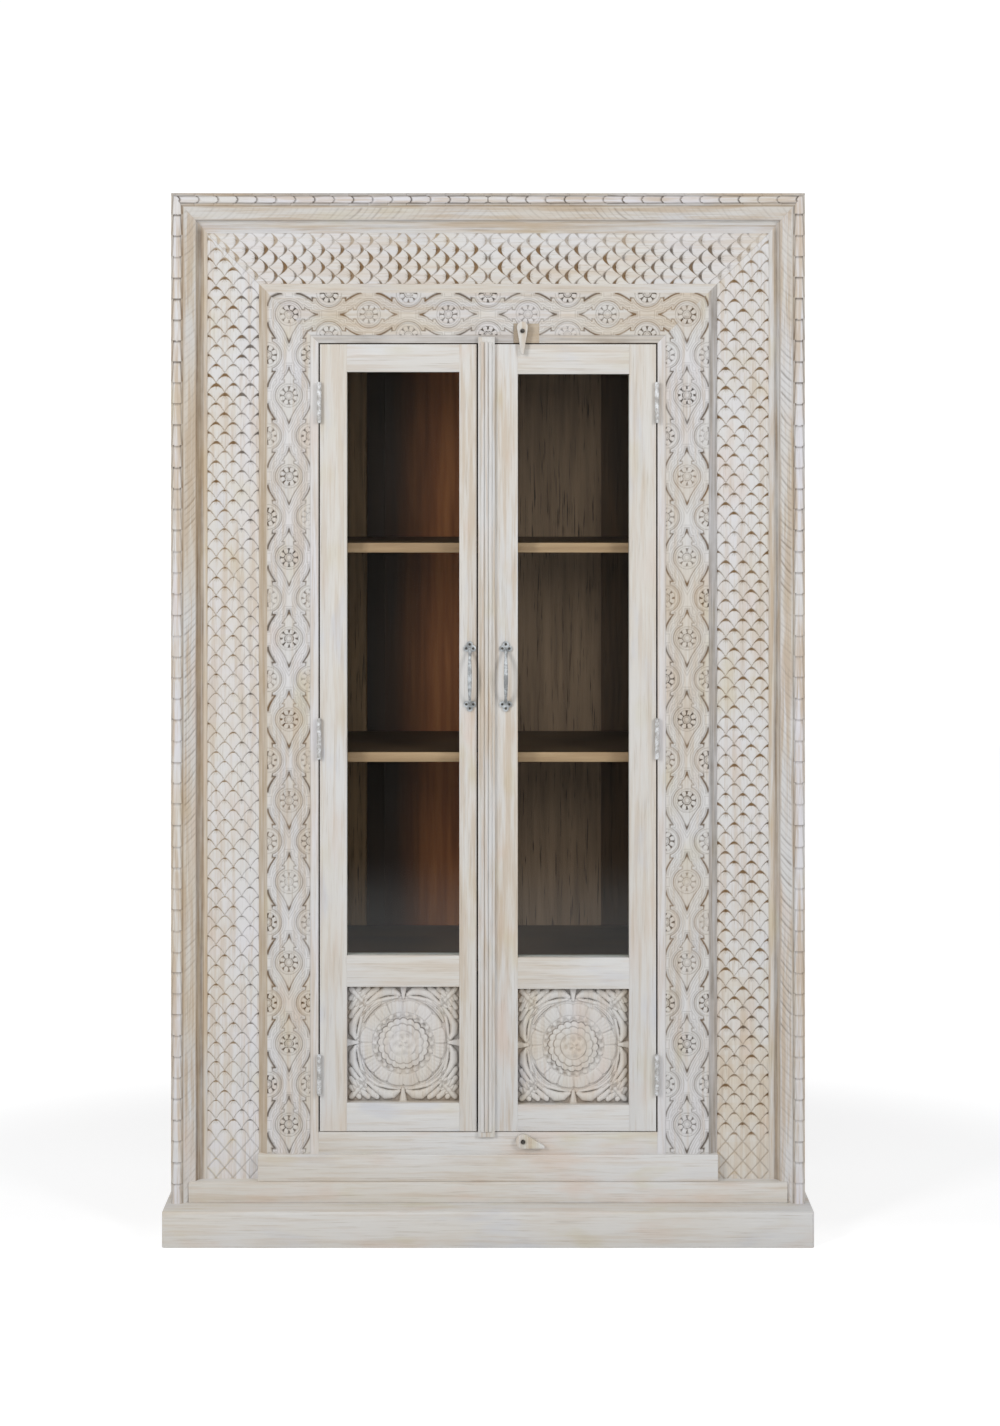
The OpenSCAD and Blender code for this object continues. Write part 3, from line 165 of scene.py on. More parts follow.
def scale_carving(a, q, first, pitch, row_w, hollow, seed):
    """Overlapping fish scales in rows, a along a row and q across the rows. The upper edge of a scale is a
    pointed arch, which falls from its middle as the distance to the power 1.6. The scale's round top begins
    below the arch, lower by a hollow that is widest at the apex and runs out at the flanks, and the hollow
    deepens towards the round top. Short cuts fan out below some apexes. Gives the depth, the stain and a
    random number for each scale."""
    a = a + 0.0007 * drift(a, q, 0.045, seed)
    q = q + 0.0009 * drift(a, q, 0.060, seed + 1)
    row = np.floor(q / row_w)
    v = q - row * row_w
    place = (a - first) / pitch - 0.5 * (row % 2)
    column = np.round(place)
    u = (place - column) * pitch
    w = 2 * np.abs(place - column)
    luck = scatter(row, column, seed)
    reach = 0.93 * row_w
    arch = reach * w ** 1.6
    thick = hollow * (0.65 + 0.5 * luck)
    gap = np.maximum(thick + (reach - thick) * w ** 2.2 - arch, 0.0015)
    under = v - arch
    past = under - gap
    apex = (1 - w) ** 1.1
    sunk = np.where(under < 0, ease(under, -0.0009, 0) * 0.5, 0.5 + 0.5 * np.clip(under / gap, 0, 1))
    sunk = sunk * ease(past, 0.0011, 0.0)
    own = under > 0
    length = np.where(own, v, v + row_w) / (2 * row_w)
    flank = np.where(own, w, 1 - w)
    body = 0.0010 * (1 - length) + 0.0005 * flank ** 2
    angle, ray = np.arctan2(u, v - thick + 0.002), np.hypot(u, v - thick + 0.002)
    present = scatter(row, column, seed + 5)
    fan = 0
    for turn, without in FAN:
        cut = cut_line(ray * np.sin(angle - turn), 0.0006) * ease(ray, 0.0105, 0.0065)
        fan = fan + cut * (present > without)
    fan = fan * own * (np.abs(angle) < 1)
    crescent = ease(under, -0.0006, 0.0006) * ease(past, 0.0007, -0.0005)
    stain_and_shade = crescent * (0.52 + 0.48 * apex ** 0.6) * (0.68 + 0.4 * luck) + 0.42 * fan
    return (0.0009 + 0.32 * hollow * apex) * sunk + body + 0.0005 * fan, stain_and_shade, luck


def lattice_carving(a, q, first, pitch, row_w):
    """Plain lozenges: two sets of straight cuts that cross at the apexes of the scales. Gives the depth and
    the stain."""
    across, along = (a - first) / pitch, q / (2 * row_w)
    sides = [across + along, across - along]
    distance = np.minimum(*[np.abs(s - np.round(s)) for s in sides]) * pitch * 2 * row_w
    line = cut_line(distance / math.hypot(pitch, 2 * row_w), 0.0010)
    return 0.0012 * line, 0.5 * line


def cartouche(u, v, radius, tip, base, shoulder, neck):
    """Distance outside a pointed cartouche: a disc joined by a neck to a spearhead at either end. tip and
    base are the spearhead's ends along v, and shoulder and neck are half widths. The spearhead narrows as
    the rest of its length to the power 1.5, and the neck runs on into it, so that no line parts them."""
    disc = np.hypot(u, v) - radius
    stem = np.maximum(u - neck, v - base - neck)
    rest = np.clip((tip - v) / (tip - base), 0, 1)
    flank = np.maximum((u - shoulder * rest ** 1.5) * 0.85, v - tip)
    return np.minimum(np.minimum(disc, stem), np.maximum(flank, base - v))


def teardrop(u, v, radius, tip):
    """Distance outside a disc that runs out to a point at the tip. The sides leave the disc as tangents and
    are hollowed a little on their way."""
    sine = radius / tip
    cosine = math.sqrt(1 - sine ** 2)
    share = np.clip((v - radius * sine) / (tip - radius * sine), 0, 1)
    sides = u * cosine + v * sine - radius + 0.0022 * np.sin(math.pi * share)
    return np.where(v > radius * sine, sides, np.hypot(u, v) - radius)


def petal_gap(angle, count):
    """0 in the middle of each of count petals, 1 between two of them."""
    part = angle * count / (2 * math.pi)
    return np.abs(part - np.floor(part) - 0.5) * 2


def rosette(u, v, radius, petals, depth):
    """A small flower: round-ended petals inside a ring cut, wedges that open between them towards the ring,
    and a ringed boss. Gives the depth and the stain."""
    rho, gap = np.hypot(u, v), petal_gap(np.arctan2(u, v), petals)
    rim = radius * (1 - 0.10 * gap ** 2)
    out = np.clip(rho / radius, 0, 1.2)
    wedge = ease(gap, 1.0 - 0.55 * out ** 2.5, 1.03 - 0.25 * out)
    wedge = wedge * ease(rho, 0.34 * radius, 0.5 * radius) * ease(rho, 1.04 * rim, 0.96 * rim)
    ring = cut_line(rho - rim, 0.0008)
    boss = cut_line(rho - 0.27 * radius, 0.0009)
    dish = 0.0009 * ease(rho, radius, 0.3 * radius) + 0.0007 * gap ** 2 * (rho < rim)
    cut = depth * (0.0024 * wedge + 0.0011 * ring + 0.0012 * boss) + dish
    return cut, np.clip(depth * (0.90 * wedge + 0.34 * ring + 0.40 * boss), 0, 1)


def ogee_carving(p, q, width, period, upright, tone, seed):
    """Two ribbons that part round a rosette in a pointed cartouche and close again between half cartouches
    at the band's edges. p is the place across from the band's middle, q runs along the band, and rosettes
    stand at multiples of the period. Upright, q runs downwards, and the lower half of a middle cartouche is
    a plain teardrop. Cartouches are sunk behind a V cut, wide and dark along the spears, and two fine cuts
    follow their outlines on the softly domed ribbons. Gives the depth, the stain and the hue."""
    p = p + 0.0004 * drift(p, q, 0.05, seed)
    q = q + 0.0007 * drift(p, q, 0.07, seed + 1)
    number, number_e = np.round(q / period), np.round(q / period - 0.5)
    v, v_e = np.abs(q - number * period), np.abs(q - (number_e + 0.5) * period)
    u, u_e = np.abs(p), np.maximum(width / 2 - np.abs(p), 0)
    side = np.sign(p)
    middle = cartouche(u, v, *MIDDLE_CARTOUCHE)
    if upright:
        middle = np.where(q > number * period, teardrop(u, v, *MIDDLE_CARTOUCHE[:2]), middle)
    edge = cartouche(u_e, v_e, *EDGE_CARTOUCHE)
    luck = scatter(number * 2 + (q > number * period), 1, seed)
    luck_e = scatter(number_e * 2 + (q > (number_e + 0.5) * period), side, seed)
    spear = ease(v, MIDDLE_CARTOUCHE[1] - 0.013, MIDDLE_CARTOUCHE[1] - 0.004) * (0.5 + 0.6 * luck)
    spear_e = ease(v_e, EDGE_CARTOUCHE[2] - 0.006, EDGE_CARTOUCHE[2] + 0.002) * (0.45 + 0.55 * luck_e)
    spear_e = spear_e * np.where(side < 0, 1.0, 0.6)
    cut_m = cut_line(middle, 0.0010 + 0.0007 * spear)
    cut_e = cut_line(edge, 0.0010 + 0.0010 * spear_e)
    outside = np.minimum(middle, edge)
    sunk = ease(outside, 0.0004, -0.0010)
    rib = cut_line(outside - 0.0040, 0.0009) + 0.8 * cut_line(outside - 0.0082, 0.0009)
    ring = cut_line(np.hypot(p, v) - MIDDLE_RING_R, 0.0008) * (middle < 0)
    ring = ring + cut_line(np.hypot(u_e, v_e) - EDGE_RING_R, 0.0008) * (edge < 0)
    contrast = 0.45 + 0.75 * scatter(number, seed, 3)
    contrast_e = 0.45 + 0.75 * scatter(number_e, side, seed)
    rose, rose_stain = rosette(p, q - number * period, ROSETTE_R, 8, contrast)
    rose_e, rose_stain_e = rosette(u_e, q - (number_e + 0.5) * period, ROSETTE_R, 8, contrast_e)
    in_m, in_e = middle < -0.0005, edge < -0.0005
    depth = 0.0013 * np.maximum(cut_m * (1 + 0.7 * spear), cut_e * (1 + spear_e)) + 0.0010 * sunk
    depth = depth + 0.0011 * ease(outside, 0.0075, 0.0) ** 1.5 * (outside > 0) + 0.0004 * (rib + ring)
    depth = depth + rose * in_m + rose_e * in_e
    lines = np.maximum(cut_m * (0.64 + 0.5 * spear), cut_e * (0.64 + 0.6 * spear_e))
    stain_and_shade = lines + 0.36 * rib + 0.42 * ring + rose_stain * in_m + rose_stain_e * in_e + 0.05 * sunk
    hue = tone * (2 * sunk - 1) + 0.5 * drift(q, p, 0.11, seed + 8) + 0.25 * np.maximum(cut_m, cut_e) - 0.05
    return depth, np.clip(stain_and_shade, 0, 1), hue


def tongue_carving(b, q, pitch, sag, half, taper, line, seed):
    """Overlapping tongues in a row. b runs from -1 to 1 across the strip, and q along it. Each tongue widens
    to its lip by the taper. The lip's middle stands ahead of its ends by an arc, whose sag is a share of the
    pitch, and falls onto the start of the next tongue. half is half a tongue's width as a share of half the
    strip, and line is how dark the outline is. Gives the depth, the stain and the hue: pale in the middle,
    ochre beside."""
    q = q + 0.0012 * drift(q, b * 0.01, 0.09, seed)
    place = q / pitch + sag * (1 - np.sqrt(1 - 0.97 * np.clip(np.abs(b) / half, 0, 1) ** 2))
    number = np.floor(place)
    t = place - number
    luck = scatter(number, seed, 6)
    width = half * (1 - taper * (1 - t) ** 0.8)
    beside = (np.abs(b) - width) * TONGUE_W / 2
    inside = ease(beside, 0.0010, -0.0004)
    under = np.clip(1 - t / 0.28, 0, 1) ** 1.5 * (0.0011 + 0.0010 * scatter(number, seed, 4))
    lip = ease(t, 0.125, 0.02) * inside
    groove = cut_line(beside, 0.0013)
    line = line * (1 - 0.5 * ease(q, 0.3, 0.9))
    stain_and_shade = line * ((0.60 + 0.55 * luck) * lip + (0.45 + 0.45 * luck) * groove) + 0.16 * (1 - inside)
    hue = -0.40 + 0.9 * ease(np.abs(b), 0.35, 0.95) + 0.5 * drift(q, b * 0.01, 0.13, seed + 9)
    depth = under + 0.0008 * groove + 0.0009 * (1 - inside) + 0.0006 * b ** 2
    return depth, np.clip(stain_and_shade, 0, 1), hue


def leaf_carving(s, q, strong, seed):
    """Leaf strokes of the sloping strip, s from 0 to 1 across it and q along it: long leaves that lean
    across, with fine veins between their edges. They are worn, and more so the less strong they are. Gives
    the depth and the stain."""
    slant = q / LEAF_PITCH + 0.62 * np.clip(s, 0, 1) ** 1.4 + 0.12 * drift(q, s * 0.02, 0.04, seed)
    place = slant - np.floor(slant)
    edge = cut_line(np.minimum(place, 1 - place) * LEAF_ACROSS, 0.0015)
    vein = cut_line((np.abs(place - 0.5) - 0.19) * LEAF_ACROSS, 0.0009)
    shown = ease(s, 0.04, 0.22) * ease(s, 1.0, 0.88)
    kept = strong * (0.35 + 0.65 * ease(drift(q, s * 0.01, 0.12, seed + 2), -0.3, 0.7))
    swell = np.sin(math.pi * place) ** 0.7
    shown = shown * kept
    depth = 0.0010 * edge + 0.0005 * vein + 0.0006 * (1 - swell)
    return depth * shown, (0.62 * edge + 0.42 * vein) * shown


# Meshes

SHARP_ANGLE = 48                                # edges of the carving that turn more stay sharp, in degrees
SHEARED = 0.05                                  # length at a board's ends over which its rows slant


def add_object(name, data):
    """A new object in the scene."""
    holder = bpy.data.objects.new(name, data)
    bpy.context.scene.collection.objects.link(holder)
    return holder


def add_mesh(name, points, faces, **values):
    """A mesh object from an array of points, a list of arrays of faces with the same number of corners, and
    numbers for each point."""
    mesh = bpy.data.meshes.new(name)
    mesh.vertices.add(len(points))
    mesh.vertices.foreach_set("co", np.asarray(points, np.float32).ravel())
    corners = np.concatenate([f.ravel() for f in faces]).astype(np.int32)
    sizes = np.concatenate([np.full(len(f), f.shape[1]) for f in faces])
    mesh.loops.add(len(corners))
    mesh.loops.foreach_set("vertex_index", corners)
    mesh.polygons.add(len(sizes))
    mesh.polygons.foreach_set("loop_start", (np.cumsum(sizes) - sizes).astype(np.int32))
    mesh.update(calc_edges=True)
    mesh.validate()
    for key, numbers in values.items():
        attribute = mesh.attributes.new(key, "FLOAT", "POINT")
        attribute.data.foreach_set("value", np.asarray(numbers, np.float32).ravel())
    return add_object(name, mesh)


def grid_quads(rows, columns):
    """Faces of a grid of points that are numbered row by row."""
    start = np.arange(rows - 1)[:, None] * columns + np.arange(columns - 1)
    return np.stack([start, start + 1, start + columns + 1, start + columns], -1).reshape(-1, 4)


def grid_rim(rows, columns):
    """Numbers of the points round a grid, in the turning sense of its faces."""
    last = (rows - 1) * columns
    return np.concatenate([np.arange(columns), np.arange(1, rows) * columns + columns - 1,
                           last + np.arange(columns - 2, -1, -1), np.arange(rows - 2, 0, -1) * columns])


def carved_shell(name, front, back_y, stain_and_shade, hue):
    """A closed board: a carved grid of points in front, a wall from its rim to the same rim at the back
    plane, and one flat face that closes the back. Its stain darkens a point: real stain in the cuts, and
    painted shade on the bevels, in the hollows and creases and beside the doors. hue tints it: up to 1 for
    ochre and down to -1 for pale lilac."""
    rows, columns = front.shape[:2]
    points = front.reshape(-1, 3)
    rim = grid_rim(rows, columns)
    back = points[rim].copy()
    back[:, 1] = back_y
    quads = grid_quads(rows, columns)
    count = len(points)
    hind = count + np.arange(len(rim))
    wall = np.stack([np.roll(rim, -1), rim, hind, np.roll(hind, -1)], -1)
    faces = [quads, wall, hind[::-1][None]]
    if np.cross(front[0, 1] - front[0, 0], front[1, 0] - front[0, 0])[1] > 0:
        faces = [f[:, ::-1] for f in faces]
    plain = np.zeros(len(rim))
    values = {"stain_and_shade": np.append(stain_and_shade, plain), "hue": np.append(hue + 0 * stain_and_shade, plain)}
    piece = add_mesh(name, np.concatenate([points, back]), faces, **values)
    piece.data.shade_smooth()
    piece.data.set_sharp_from_angle(angle=math.radians(SHARP_ANGLE))
    return piece


def dress(piece, node, finish):
    """Lets a piece stand for a packed one, on the same body, in the given finish."""
    piece.data.materials.clear()
    piece.data.materials.append(finish)
    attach(piece, BODY_OF[node])
    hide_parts(node)
    return piece


def marks(stops, step):
    """Places from the first stop to the last, evenly spaced between neighbouring stops."""
    runs = [np.linspace(start, end, max(1, round((end - start) / step)), endpoint=False)
            for start, end in zip(stops, stops[1:])]
    return np.concatenate(runs + [[stops[-1]]])


def lengthwise(near, far, step):
    """Places along a board, one row for each: level between two lines drawn inside its ends, and stretched
    from those lines to the ends, which may be mitred. near and far hold the ends for each place across."""
    start, stop = near.max() + SHEARED, far.min() - SHEARED

    def shares(length, last):
        """Even shares of a length, with its end where last is 1."""
        return np.linspace(0, 1, max(2, round(length / step)) + last, endpoint=bool(last))[:, None]

    head = near + (start - near) * shares(start - near.min(), 0)
    middle = start + (stop - start) * shares(stop - start, 0) + 0 * near
    tail = stop + (far - stop) * shares(far.max() - stop, 1)
    return np.concatenate([head, middle, tail])


def mitre(across, outer, inner):
    """Ends of a mitred board: from the outer line to the inner one, in proportion to the place across."""
    return outer + (inner - outer) * across / across[-1]


def side_board(side, node, across, x_outer, z_ends, z_low, carve, finish, step):
    """A board at one side of the surround. z_ends are the heights of its mitre at the outer and the inner
    edge, and z_low its lower end for each place across. carve takes places inwards from the outer edge and
    heights, and gives the depth, the stain with the carving's painted shade, and the hue."""
    b = lengthwise(z_low, mitre(across, *z_ends), step)
    a = across + 0 * b
    depth, stain_and_shade, hue = carve(a, b)
    front = np.stack([side * (x_outer - a), FRONT + depth, b], -1)
    return dress(carved_shell(node + "_carved", front, FRONT + BACK_D, stain_and_shade, hue), node, finish)


def top_board(node, across, x_ends, z_outer, carve, finish, step):
    """A board along the top of the surround. x_ends are the half lengths of its upper and its lower edge.
    carve takes places downwards from the upper edge and places in X."""
    end = mitre(across, *x_ends)
    b = lengthwise(-end, end, step)
    a = across + 0 * b
    depth, stain_and_shade, hue = carve(a, b)
    front = np.stack([b, FRONT + depth, z_outer - a], -1)
    return dress(carved_shell(node + "_carved", front, FRONT + BACK_D, stain_and_shade, hue), node, finish)


# Materials

def ink(red, green, blue):
    """A colour from 0 to 255 in screen values, as a linear colour."""
    def linear(c):
        """One channel by the screen's own curve."""
        c = c / 255
        return c / 12.92 if c <= 0.04045 else ((c + 0.055) / 1.055) ** 2.4
    return (linear(red), linear(green), linear(blue), 1.0)


CHALK, CREAM, MIST = ink(214, 213, 211), ink(213, 209, 202), ink(199, 201, 208)
ROSE, STRAW = ink(212, 192, 177), ink(202, 193, 164)
OCHRE, PALE_LILAC = ink(200, 179, 145), ink(219, 217, 223)
BARE_STREAK, DARK_HAIR, PALE_HAIR = ink(190, 169, 143), ink(162, 147, 129), ink(228, 226, 223)
# dark colours of the carving's stain: real dirt in the cuts, and painted shade in hollows, creases and gaps
GREY_DIRT_AND_SHADE, BROWN_DIRT_AND_SHADE = ink(106, 98, 90), ink(124, 98, 68)
WHITE = (1, 1, 1, 1)


class Term:
    """A number or colour that varies over a surface. Arithmetic on numbers adds Math nodes."""

    def __init__(self, shading, socket):
        self.shading = shading
        self.socket = socket

    def _math(self, operation, first, second):
        return self.shading.node("Math", {"operation": operation}, {0: first, 1: second})

    def __add__(self, other):
        return self._math("ADD", self, other)

    def __sub__(self, other):
        return self._math("SUBTRACT", self, other)

    def __rsub__(self, other):
        return self._math("SUBTRACT", other, self)

    def __mul__(self, other):
        return self._math("MULTIPLY", self, other)

    __radd__ = __add__
    __rmul__ = __mul__


class Shading:
    """The nodes of a material or of the sky, in the making."""

    def __init__(self, owner):
        self.owner = owner
        owner.use_nodes = True
        self.tree = owner.node_tree
        self.tree.nodes.clear()

    def node(self, kind, settings, inputs, output=0):
        """Adds a node of a kind, with its settings and its sockets' values or links."""
        node = self.tree.nodes.new("ShaderNode" + kind)
        for key, value in settings.items():
            setattr(node, key, value)
        for key, value in inputs.items():
            if isinstance(value, Term):
                self.tree.links.new(value.socket, node.inputs[key])
            else:
                node.inputs[key].default_value = value
        return Term(self, node.outputs[output] if node.outputs else None)

    def place(self):
        """Place in the cabinet's own frame."""
        return self.node("TexCoord", {}, {}, "Object")

    def coordinate(self, axis):
        """Place along one axis."""
        return self.node("SeparateXYZ", {}, {"Vector": self.place()}, axis)

    def noise(self, size, stretch, detail, roughness, shift):
        """Cloudy noise with features of about the given size, drawn out by the stretch along each axis."""
        moved = {"Vector": self.place(), "Location": (shift, shift * 0.7, shift * 1.3),
                 "Scale": tuple(1 / (size * s) for s in stretch)}
        grain = {"Vector": self.node("Mapping", {}, moved, "Vector"), "Scale": 1.0, "Detail": detail,
                 "Roughness": roughness}
        return self.node("TexNoise", {}, grain, "Fac")

    def rise(self, value, start, end):
        """0 below start, 1 above end, smooth between."""
        return self.node("MapRange", {"interpolation_type": "SMOOTHSTEP"},
                         {"Value": value, "From Min": start, "From Max": end}, "Result")

    def larger(self, first, second):
        """The larger of two numbers."""
        return self.node("Math", {"operation": "MAXIMUM"}, {0: first, 1: second})

    def mix(self, share, first, second):
        """The first colour where share is 0 and the second where it is 1."""
        return self.node("Mix", {"data_type": "RGBA"}, {0: share, 6: first, 7: second}, 2)

    def bump(self, height, strength, distance):
        """A normal that a height tilts."""
        sockets = {"Height": height, "Strength": strength, "Distance": distance}
        return self.node("Bump", {}, sockets, "Normal")

    def end(self, shader, kind="OutputMaterial"):
        """Ends in a shader, and gives the finished material or sky."""
        self.node(kind, {}, {"Surface": shader})
        return self.owner

    def principled(self, colour, roughness, normal, **fixed):
        """Ends in a Principled shader. fixed are plain values of other sockets."""
        inputs = {"Base Color": colour, "Roughness": roughness, "Normal": normal}
        inputs.update({key.replace("_", " "): value for key, value in fixed.items()})
        return self.end(self.node("BsdfPrincipled", {}, inputs, "BSDF"))


def new_finish(name):
    """Starts a material."""
    return Shading(bpy.data.materials.new(name))


def along(axis, length):
    """A stretch that draws a pattern out along one axis."""
    return tuple(length if i == axis else 1.0 for i in range(3))


def whitewash(name, axis, shift, warmth, bare, cool):
    """Worn whitewash over carved hardwood, brushed along the grain. warmth and cool tint the wash in large
    patches, bare shows more of the wood in streaks, and the hue and stain of the carving colour its cuts:
    the stain mixes in a grey to brown dark colour, which is real dirt in the cuts and painted shade in the
    hollows, creases and gaps."""
    f = new_finish(name)
    patches = f.noise(0.20, along(axis, 2.2), 2.0, 0.5, shift)
    clouds = f.noise(0.06, along(axis, 3.0), 3.0, 0.55, shift + 3)
    tints = f.noise(0.05, along(axis, 2.5), 2.0, 0.5, shift + 23)
    streaks = f.noise(0.010, along(axis, 20.0), 4.0, 0.62, shift + 7)
    hairs = f.noise(0.0026, along(axis, 40.0), 3.0, 0.65, shift + 11)
    blotch = f.noise(0.014, along(axis, 2.0), 3.0, 0.6, shift + 17)
    hue = f.node("Attribute", {"attribute_name": "hue"}, {}, "Fac")
    stain_and_shade = f.node("Attribute", {"attribute_name": "stain_and_shade"}, {}, "Fac")
    wash = f.mix(f.rise(patches, 0.38, 0.62), CHALK, CREAM)
    wash = f.mix(f.rise(clouds, 0.54, 0.74) * (0.8 * cool), wash, MIST)
    wash = f.mix(f.rise(clouds, 0.46, 0.26) * (0.85 * warmth), wash, ROSE)
    wash = f.mix(f.rise(tints, 0.56, 0.76) * (0.8 * warmth), wash, STRAW)
    wash = f.mix(hue * 0.62, wash, OCHRE)
    wash = f.mix(hue * -0.75, wash, PALE_LILAC)
    thin = f.rise(streaks + patches * 0.35, 0.66 - 0.10 * bare, 0.90 - 0.10 * bare)
    wash = f.mix(thin * (0.80 * bare), wash, BARE_STREAK)
    wash = f.mix(f.rise(hairs, 0.54, 0.76) * (0.34 + 0.30 * bare), wash, DARK_HAIR)
    wash = f.mix(f.rise(hairs, 0.44, 0.26) * 0.35, wash, PALE_HAIR)
    # grey to brown dark colour for the stain: real dirt, and painted shade where the carving paints it
    dirt_and_shade = f.mix(f.rise(hue + clouds * 0.8, 0.15, 1.05), GREY_DIRT_AND_SHADE, BROWN_DIRT_AND_SHADE)
    cut = f.node("Math", {"operation": "MULTIPLY", "use_clamp": True}, {0: stain_and_shade, 1: blotch * 0.9 + 0.60})
    wash = f.mix(cut, wash, dirt_and_shade)
    relief = streaks * 0.6 + hairs * 0.5 + blotch * 0.35
    return f.principled(wash, blotch * 0.25 + 0.55, f.bump(relief, 0.35, 0.0012), Specular_IOR_Level=0.25)


def bare_wood(name, axis, shift, light, dark, grain, contrast, roughness=0.6, face=None, painted_shade=None):
    """Bare or stained wood: streaks and pores drawn out along the grain between two colours. face holds the
    place in Y and the two colours of a front face that is painted lighter: painted light. The last argument
    holds a dark and a light place in X, a share, and another dark place: a painted shade, which darkens that
    front face by the share from the light place to the dark ones."""
    f = new_finish(name)
    broad = f.noise(0.045, along(axis, 9.0), 3.0, 0.5, shift)
    figure = f.noise(grain * 4, along(axis, 20.0), 4.0, 0.6, shift + 5)
    pores = f.noise(grain, along(axis, 26.0), 3.0, 0.7, shift + 9)
    tone = f.rise(broad * 0.5 + figure * 0.5, 0.5 - 0.35 * contrast, 0.5 + 0.35 * contrast)
    colour = f.mix(tone, ink(*dark), ink(*light))
    colour = f.mix(f.rise(pores, 0.55, 0.72) * contrast, colour, ink(*[c * 0.45 for c in dark]))
    # a front face in lighter colours than the rest: painted light where it looks at the lamps
    if face:
        face_y, face_light, face_dark = face
        behind = f.rise(f.coordinate(Y), face_y + 0.0004, face_y + 0.0016)
        colour = f.mix(behind, f.mix(tone, ink(*face_dark), ink(*face_light)), colour)
        # painted shade: the front face darkens towards near black away from its light place
        if painted_shade:
            dark_x, light_x, share, other_x = painted_shade
            lit = f.rise(f.coordinate(X), dark_x, light_x) * f.rise(f.coordinate(X), other_x, other_x - 0.02)
            shade = (1 - lit) * (1 - behind) * share
            colour = f.mix(shade, colour, ink(*[c * 0.12 for c in dark]))
    bump = f.bump(figure * 0.6 + pores * 0.4, 0.3, 0.001)
    return f.principled(colour, broad * 0.2 + roughness - 0.1, bump, Specular_IOR_Level=0.3)


def aged_metal(name, light, dark, size, roughness, metallic):
    """Old metal: bright where hands rub it, with dark patina in spots."""
    f = new_finish(name)
    spots = f.noise(size, (1, 1, 1), 5.0, 0.65, 2)
    fine = f.noise(size * 0.2, (1, 1, 1), 3.0, 0.6, 5)
    colour = f.mix(f.rise(spots + fine * 0.25, 0.48, 0.74), ink(*light), ink(*dark))
    bump = f.bump(fine + spots, 0.2, 0.0004)
    return f.principled(colour, spots * 0.3 + roughness, bump, Metallic=metallic)


def window_glass(name):
    """Clear glass with a weak reflection: what is behind it shows through, a little greyed. On its lowest
    part more gloss is mixed in: a painted reflection of the bright floor."""
    f = new_finish(name)
    smear = f.noise(0.12, (1, 1, 1.6), 3.0, 0.6, 4)
    clear = f.node("BsdfTransparent", {}, {"Color": (0.93, 0.95, 0.94, 1)}, "BSDF")
    sheen = f.node("BsdfGlossy", {}, {"Color": WHITE, "Roughness": 0.04}, "BSDF")
    edge = f.node("Fresnel", {}, {"IOR": 1.35}, "Fac")
    # painted reflection of the floor: more gloss on the lowest part
    painted_reflection = f.rise(f.coordinate(Z), 0.74, 0.60)
    share = edge * (smear * 0.08 + 0.05) + painted_reflection * 0.022
    return f.end(f.node("MixShader", {}, {0: share, 1: clear, 2: sheen}, "Shader"))


WASH_UP_LEFT = whitewash("whitewash_sides_left", Z, 1.0, 0.6, 0.55, 0.4)
WASH_UP_RIGHT = whitewash("whitewash_sides_right", Z, 5.0, 0.6, 0.5, 0.4)
WASH_ACROSS = whitewash("whitewash_top", X, 9.0, 0.35, 0.45, 0.6)
WASH_MOULDING_UP = whitewash("whitewash_moulding_sides", Z, 13.0, 0.6, 0.9, 0.4)
WASH_MOULDING_ACROSS = whitewash("whitewash_moulding_top", X, 17.0, 0.5, 0.8, 0.5)
WASH_DOOR_UP = whitewash("whitewash_door_stiles", Z, 21.0, 0.32, 0.42, 0.85)
WASH_MEETING = whitewash("whitewash_meeting_stiles", Z, 57.0, 0.7, 0.65, 0.4)
WASH_DOOR_ACROSS = whitewash("whitewash_door_rails", X, 25.0, 0.35, 0.40, 0.8)
WASH_RAILS = whitewash("whitewash_rails", X, 29.0, 0.62, 0.42, 0.45)
WASH_PLINTH = whitewash("whitewash_plinth", X, 33.0, 0.5, 0.35, 0.6)
WASH_PANEL = whitewash("whitewash_carved_panels", Z, 37.0, 0.6, 0.35, 0.5)
WASH_ASTRAGAL = whitewash("whitewash_astragal", Z, 41.0, 0.5, 0.75, 0.5)
WASH_CLASP = whitewash("whitewash_clasps", Z, 45.0, 0.8, 0.8, 0.2)
WASH_DEEP = whitewash("whitewash_side_timbers", Y, 49.0, 0.5, 0.5, 0.5)
# the shelves' front edges in lighter colours than their tops: painted light
SHELF_WOOD = bare_wood("shelf_wood", X, 2.0, (98, 76, 54), (62, 44, 32), 0.004, 0.8,
                       face=(low("shelf_top").y, (224, 188, 152), (160, 126, 96)))
DARK_WOOD = bare_wood("dark_wood", X, 6.0, (92, 72, 60), (56, 42, 34), 0.004, 0.6)
# its front face lighter: painted light, with painted shade towards the left and behind the doors' meeting
RED_PANEL = bare_wood("red_brown_panel", Z, 10.0, (126, 88, 62), (80, 52, 38), 0.003, 0.8, 0.5,
                      face=(low("back_panel_left").y, (206, 130, 80), (126, 70, 42)),
                      painted_shade=(-0.205, -0.075, 0.92, -0.045))
GREY_PANEL = bare_wood("grey_brown_panel", Z, 14.0, (186, 154, 128), (96, 74, 58), 0.0035, 1.1)
NARROW_BOARD = bare_wood("narrow_back_board", Z, 18.0, (64, 46, 36), (34, 24, 20), 0.003, 0.8)
DARK_BOARD = bare_wood("dark_back_board", Z, 19.0, (116, 88, 66), (60, 44, 34), 0.003, 0.8)
PALE_BOARD = bare_wood("pale_back_board", Z, 22.0, (188, 150, 112), (96, 74, 54), 0.004, 0.9)
IRON = aged_metal("antique_iron", (204, 209, 212), (140, 143, 144), 0.012, 0.28, 0.40)
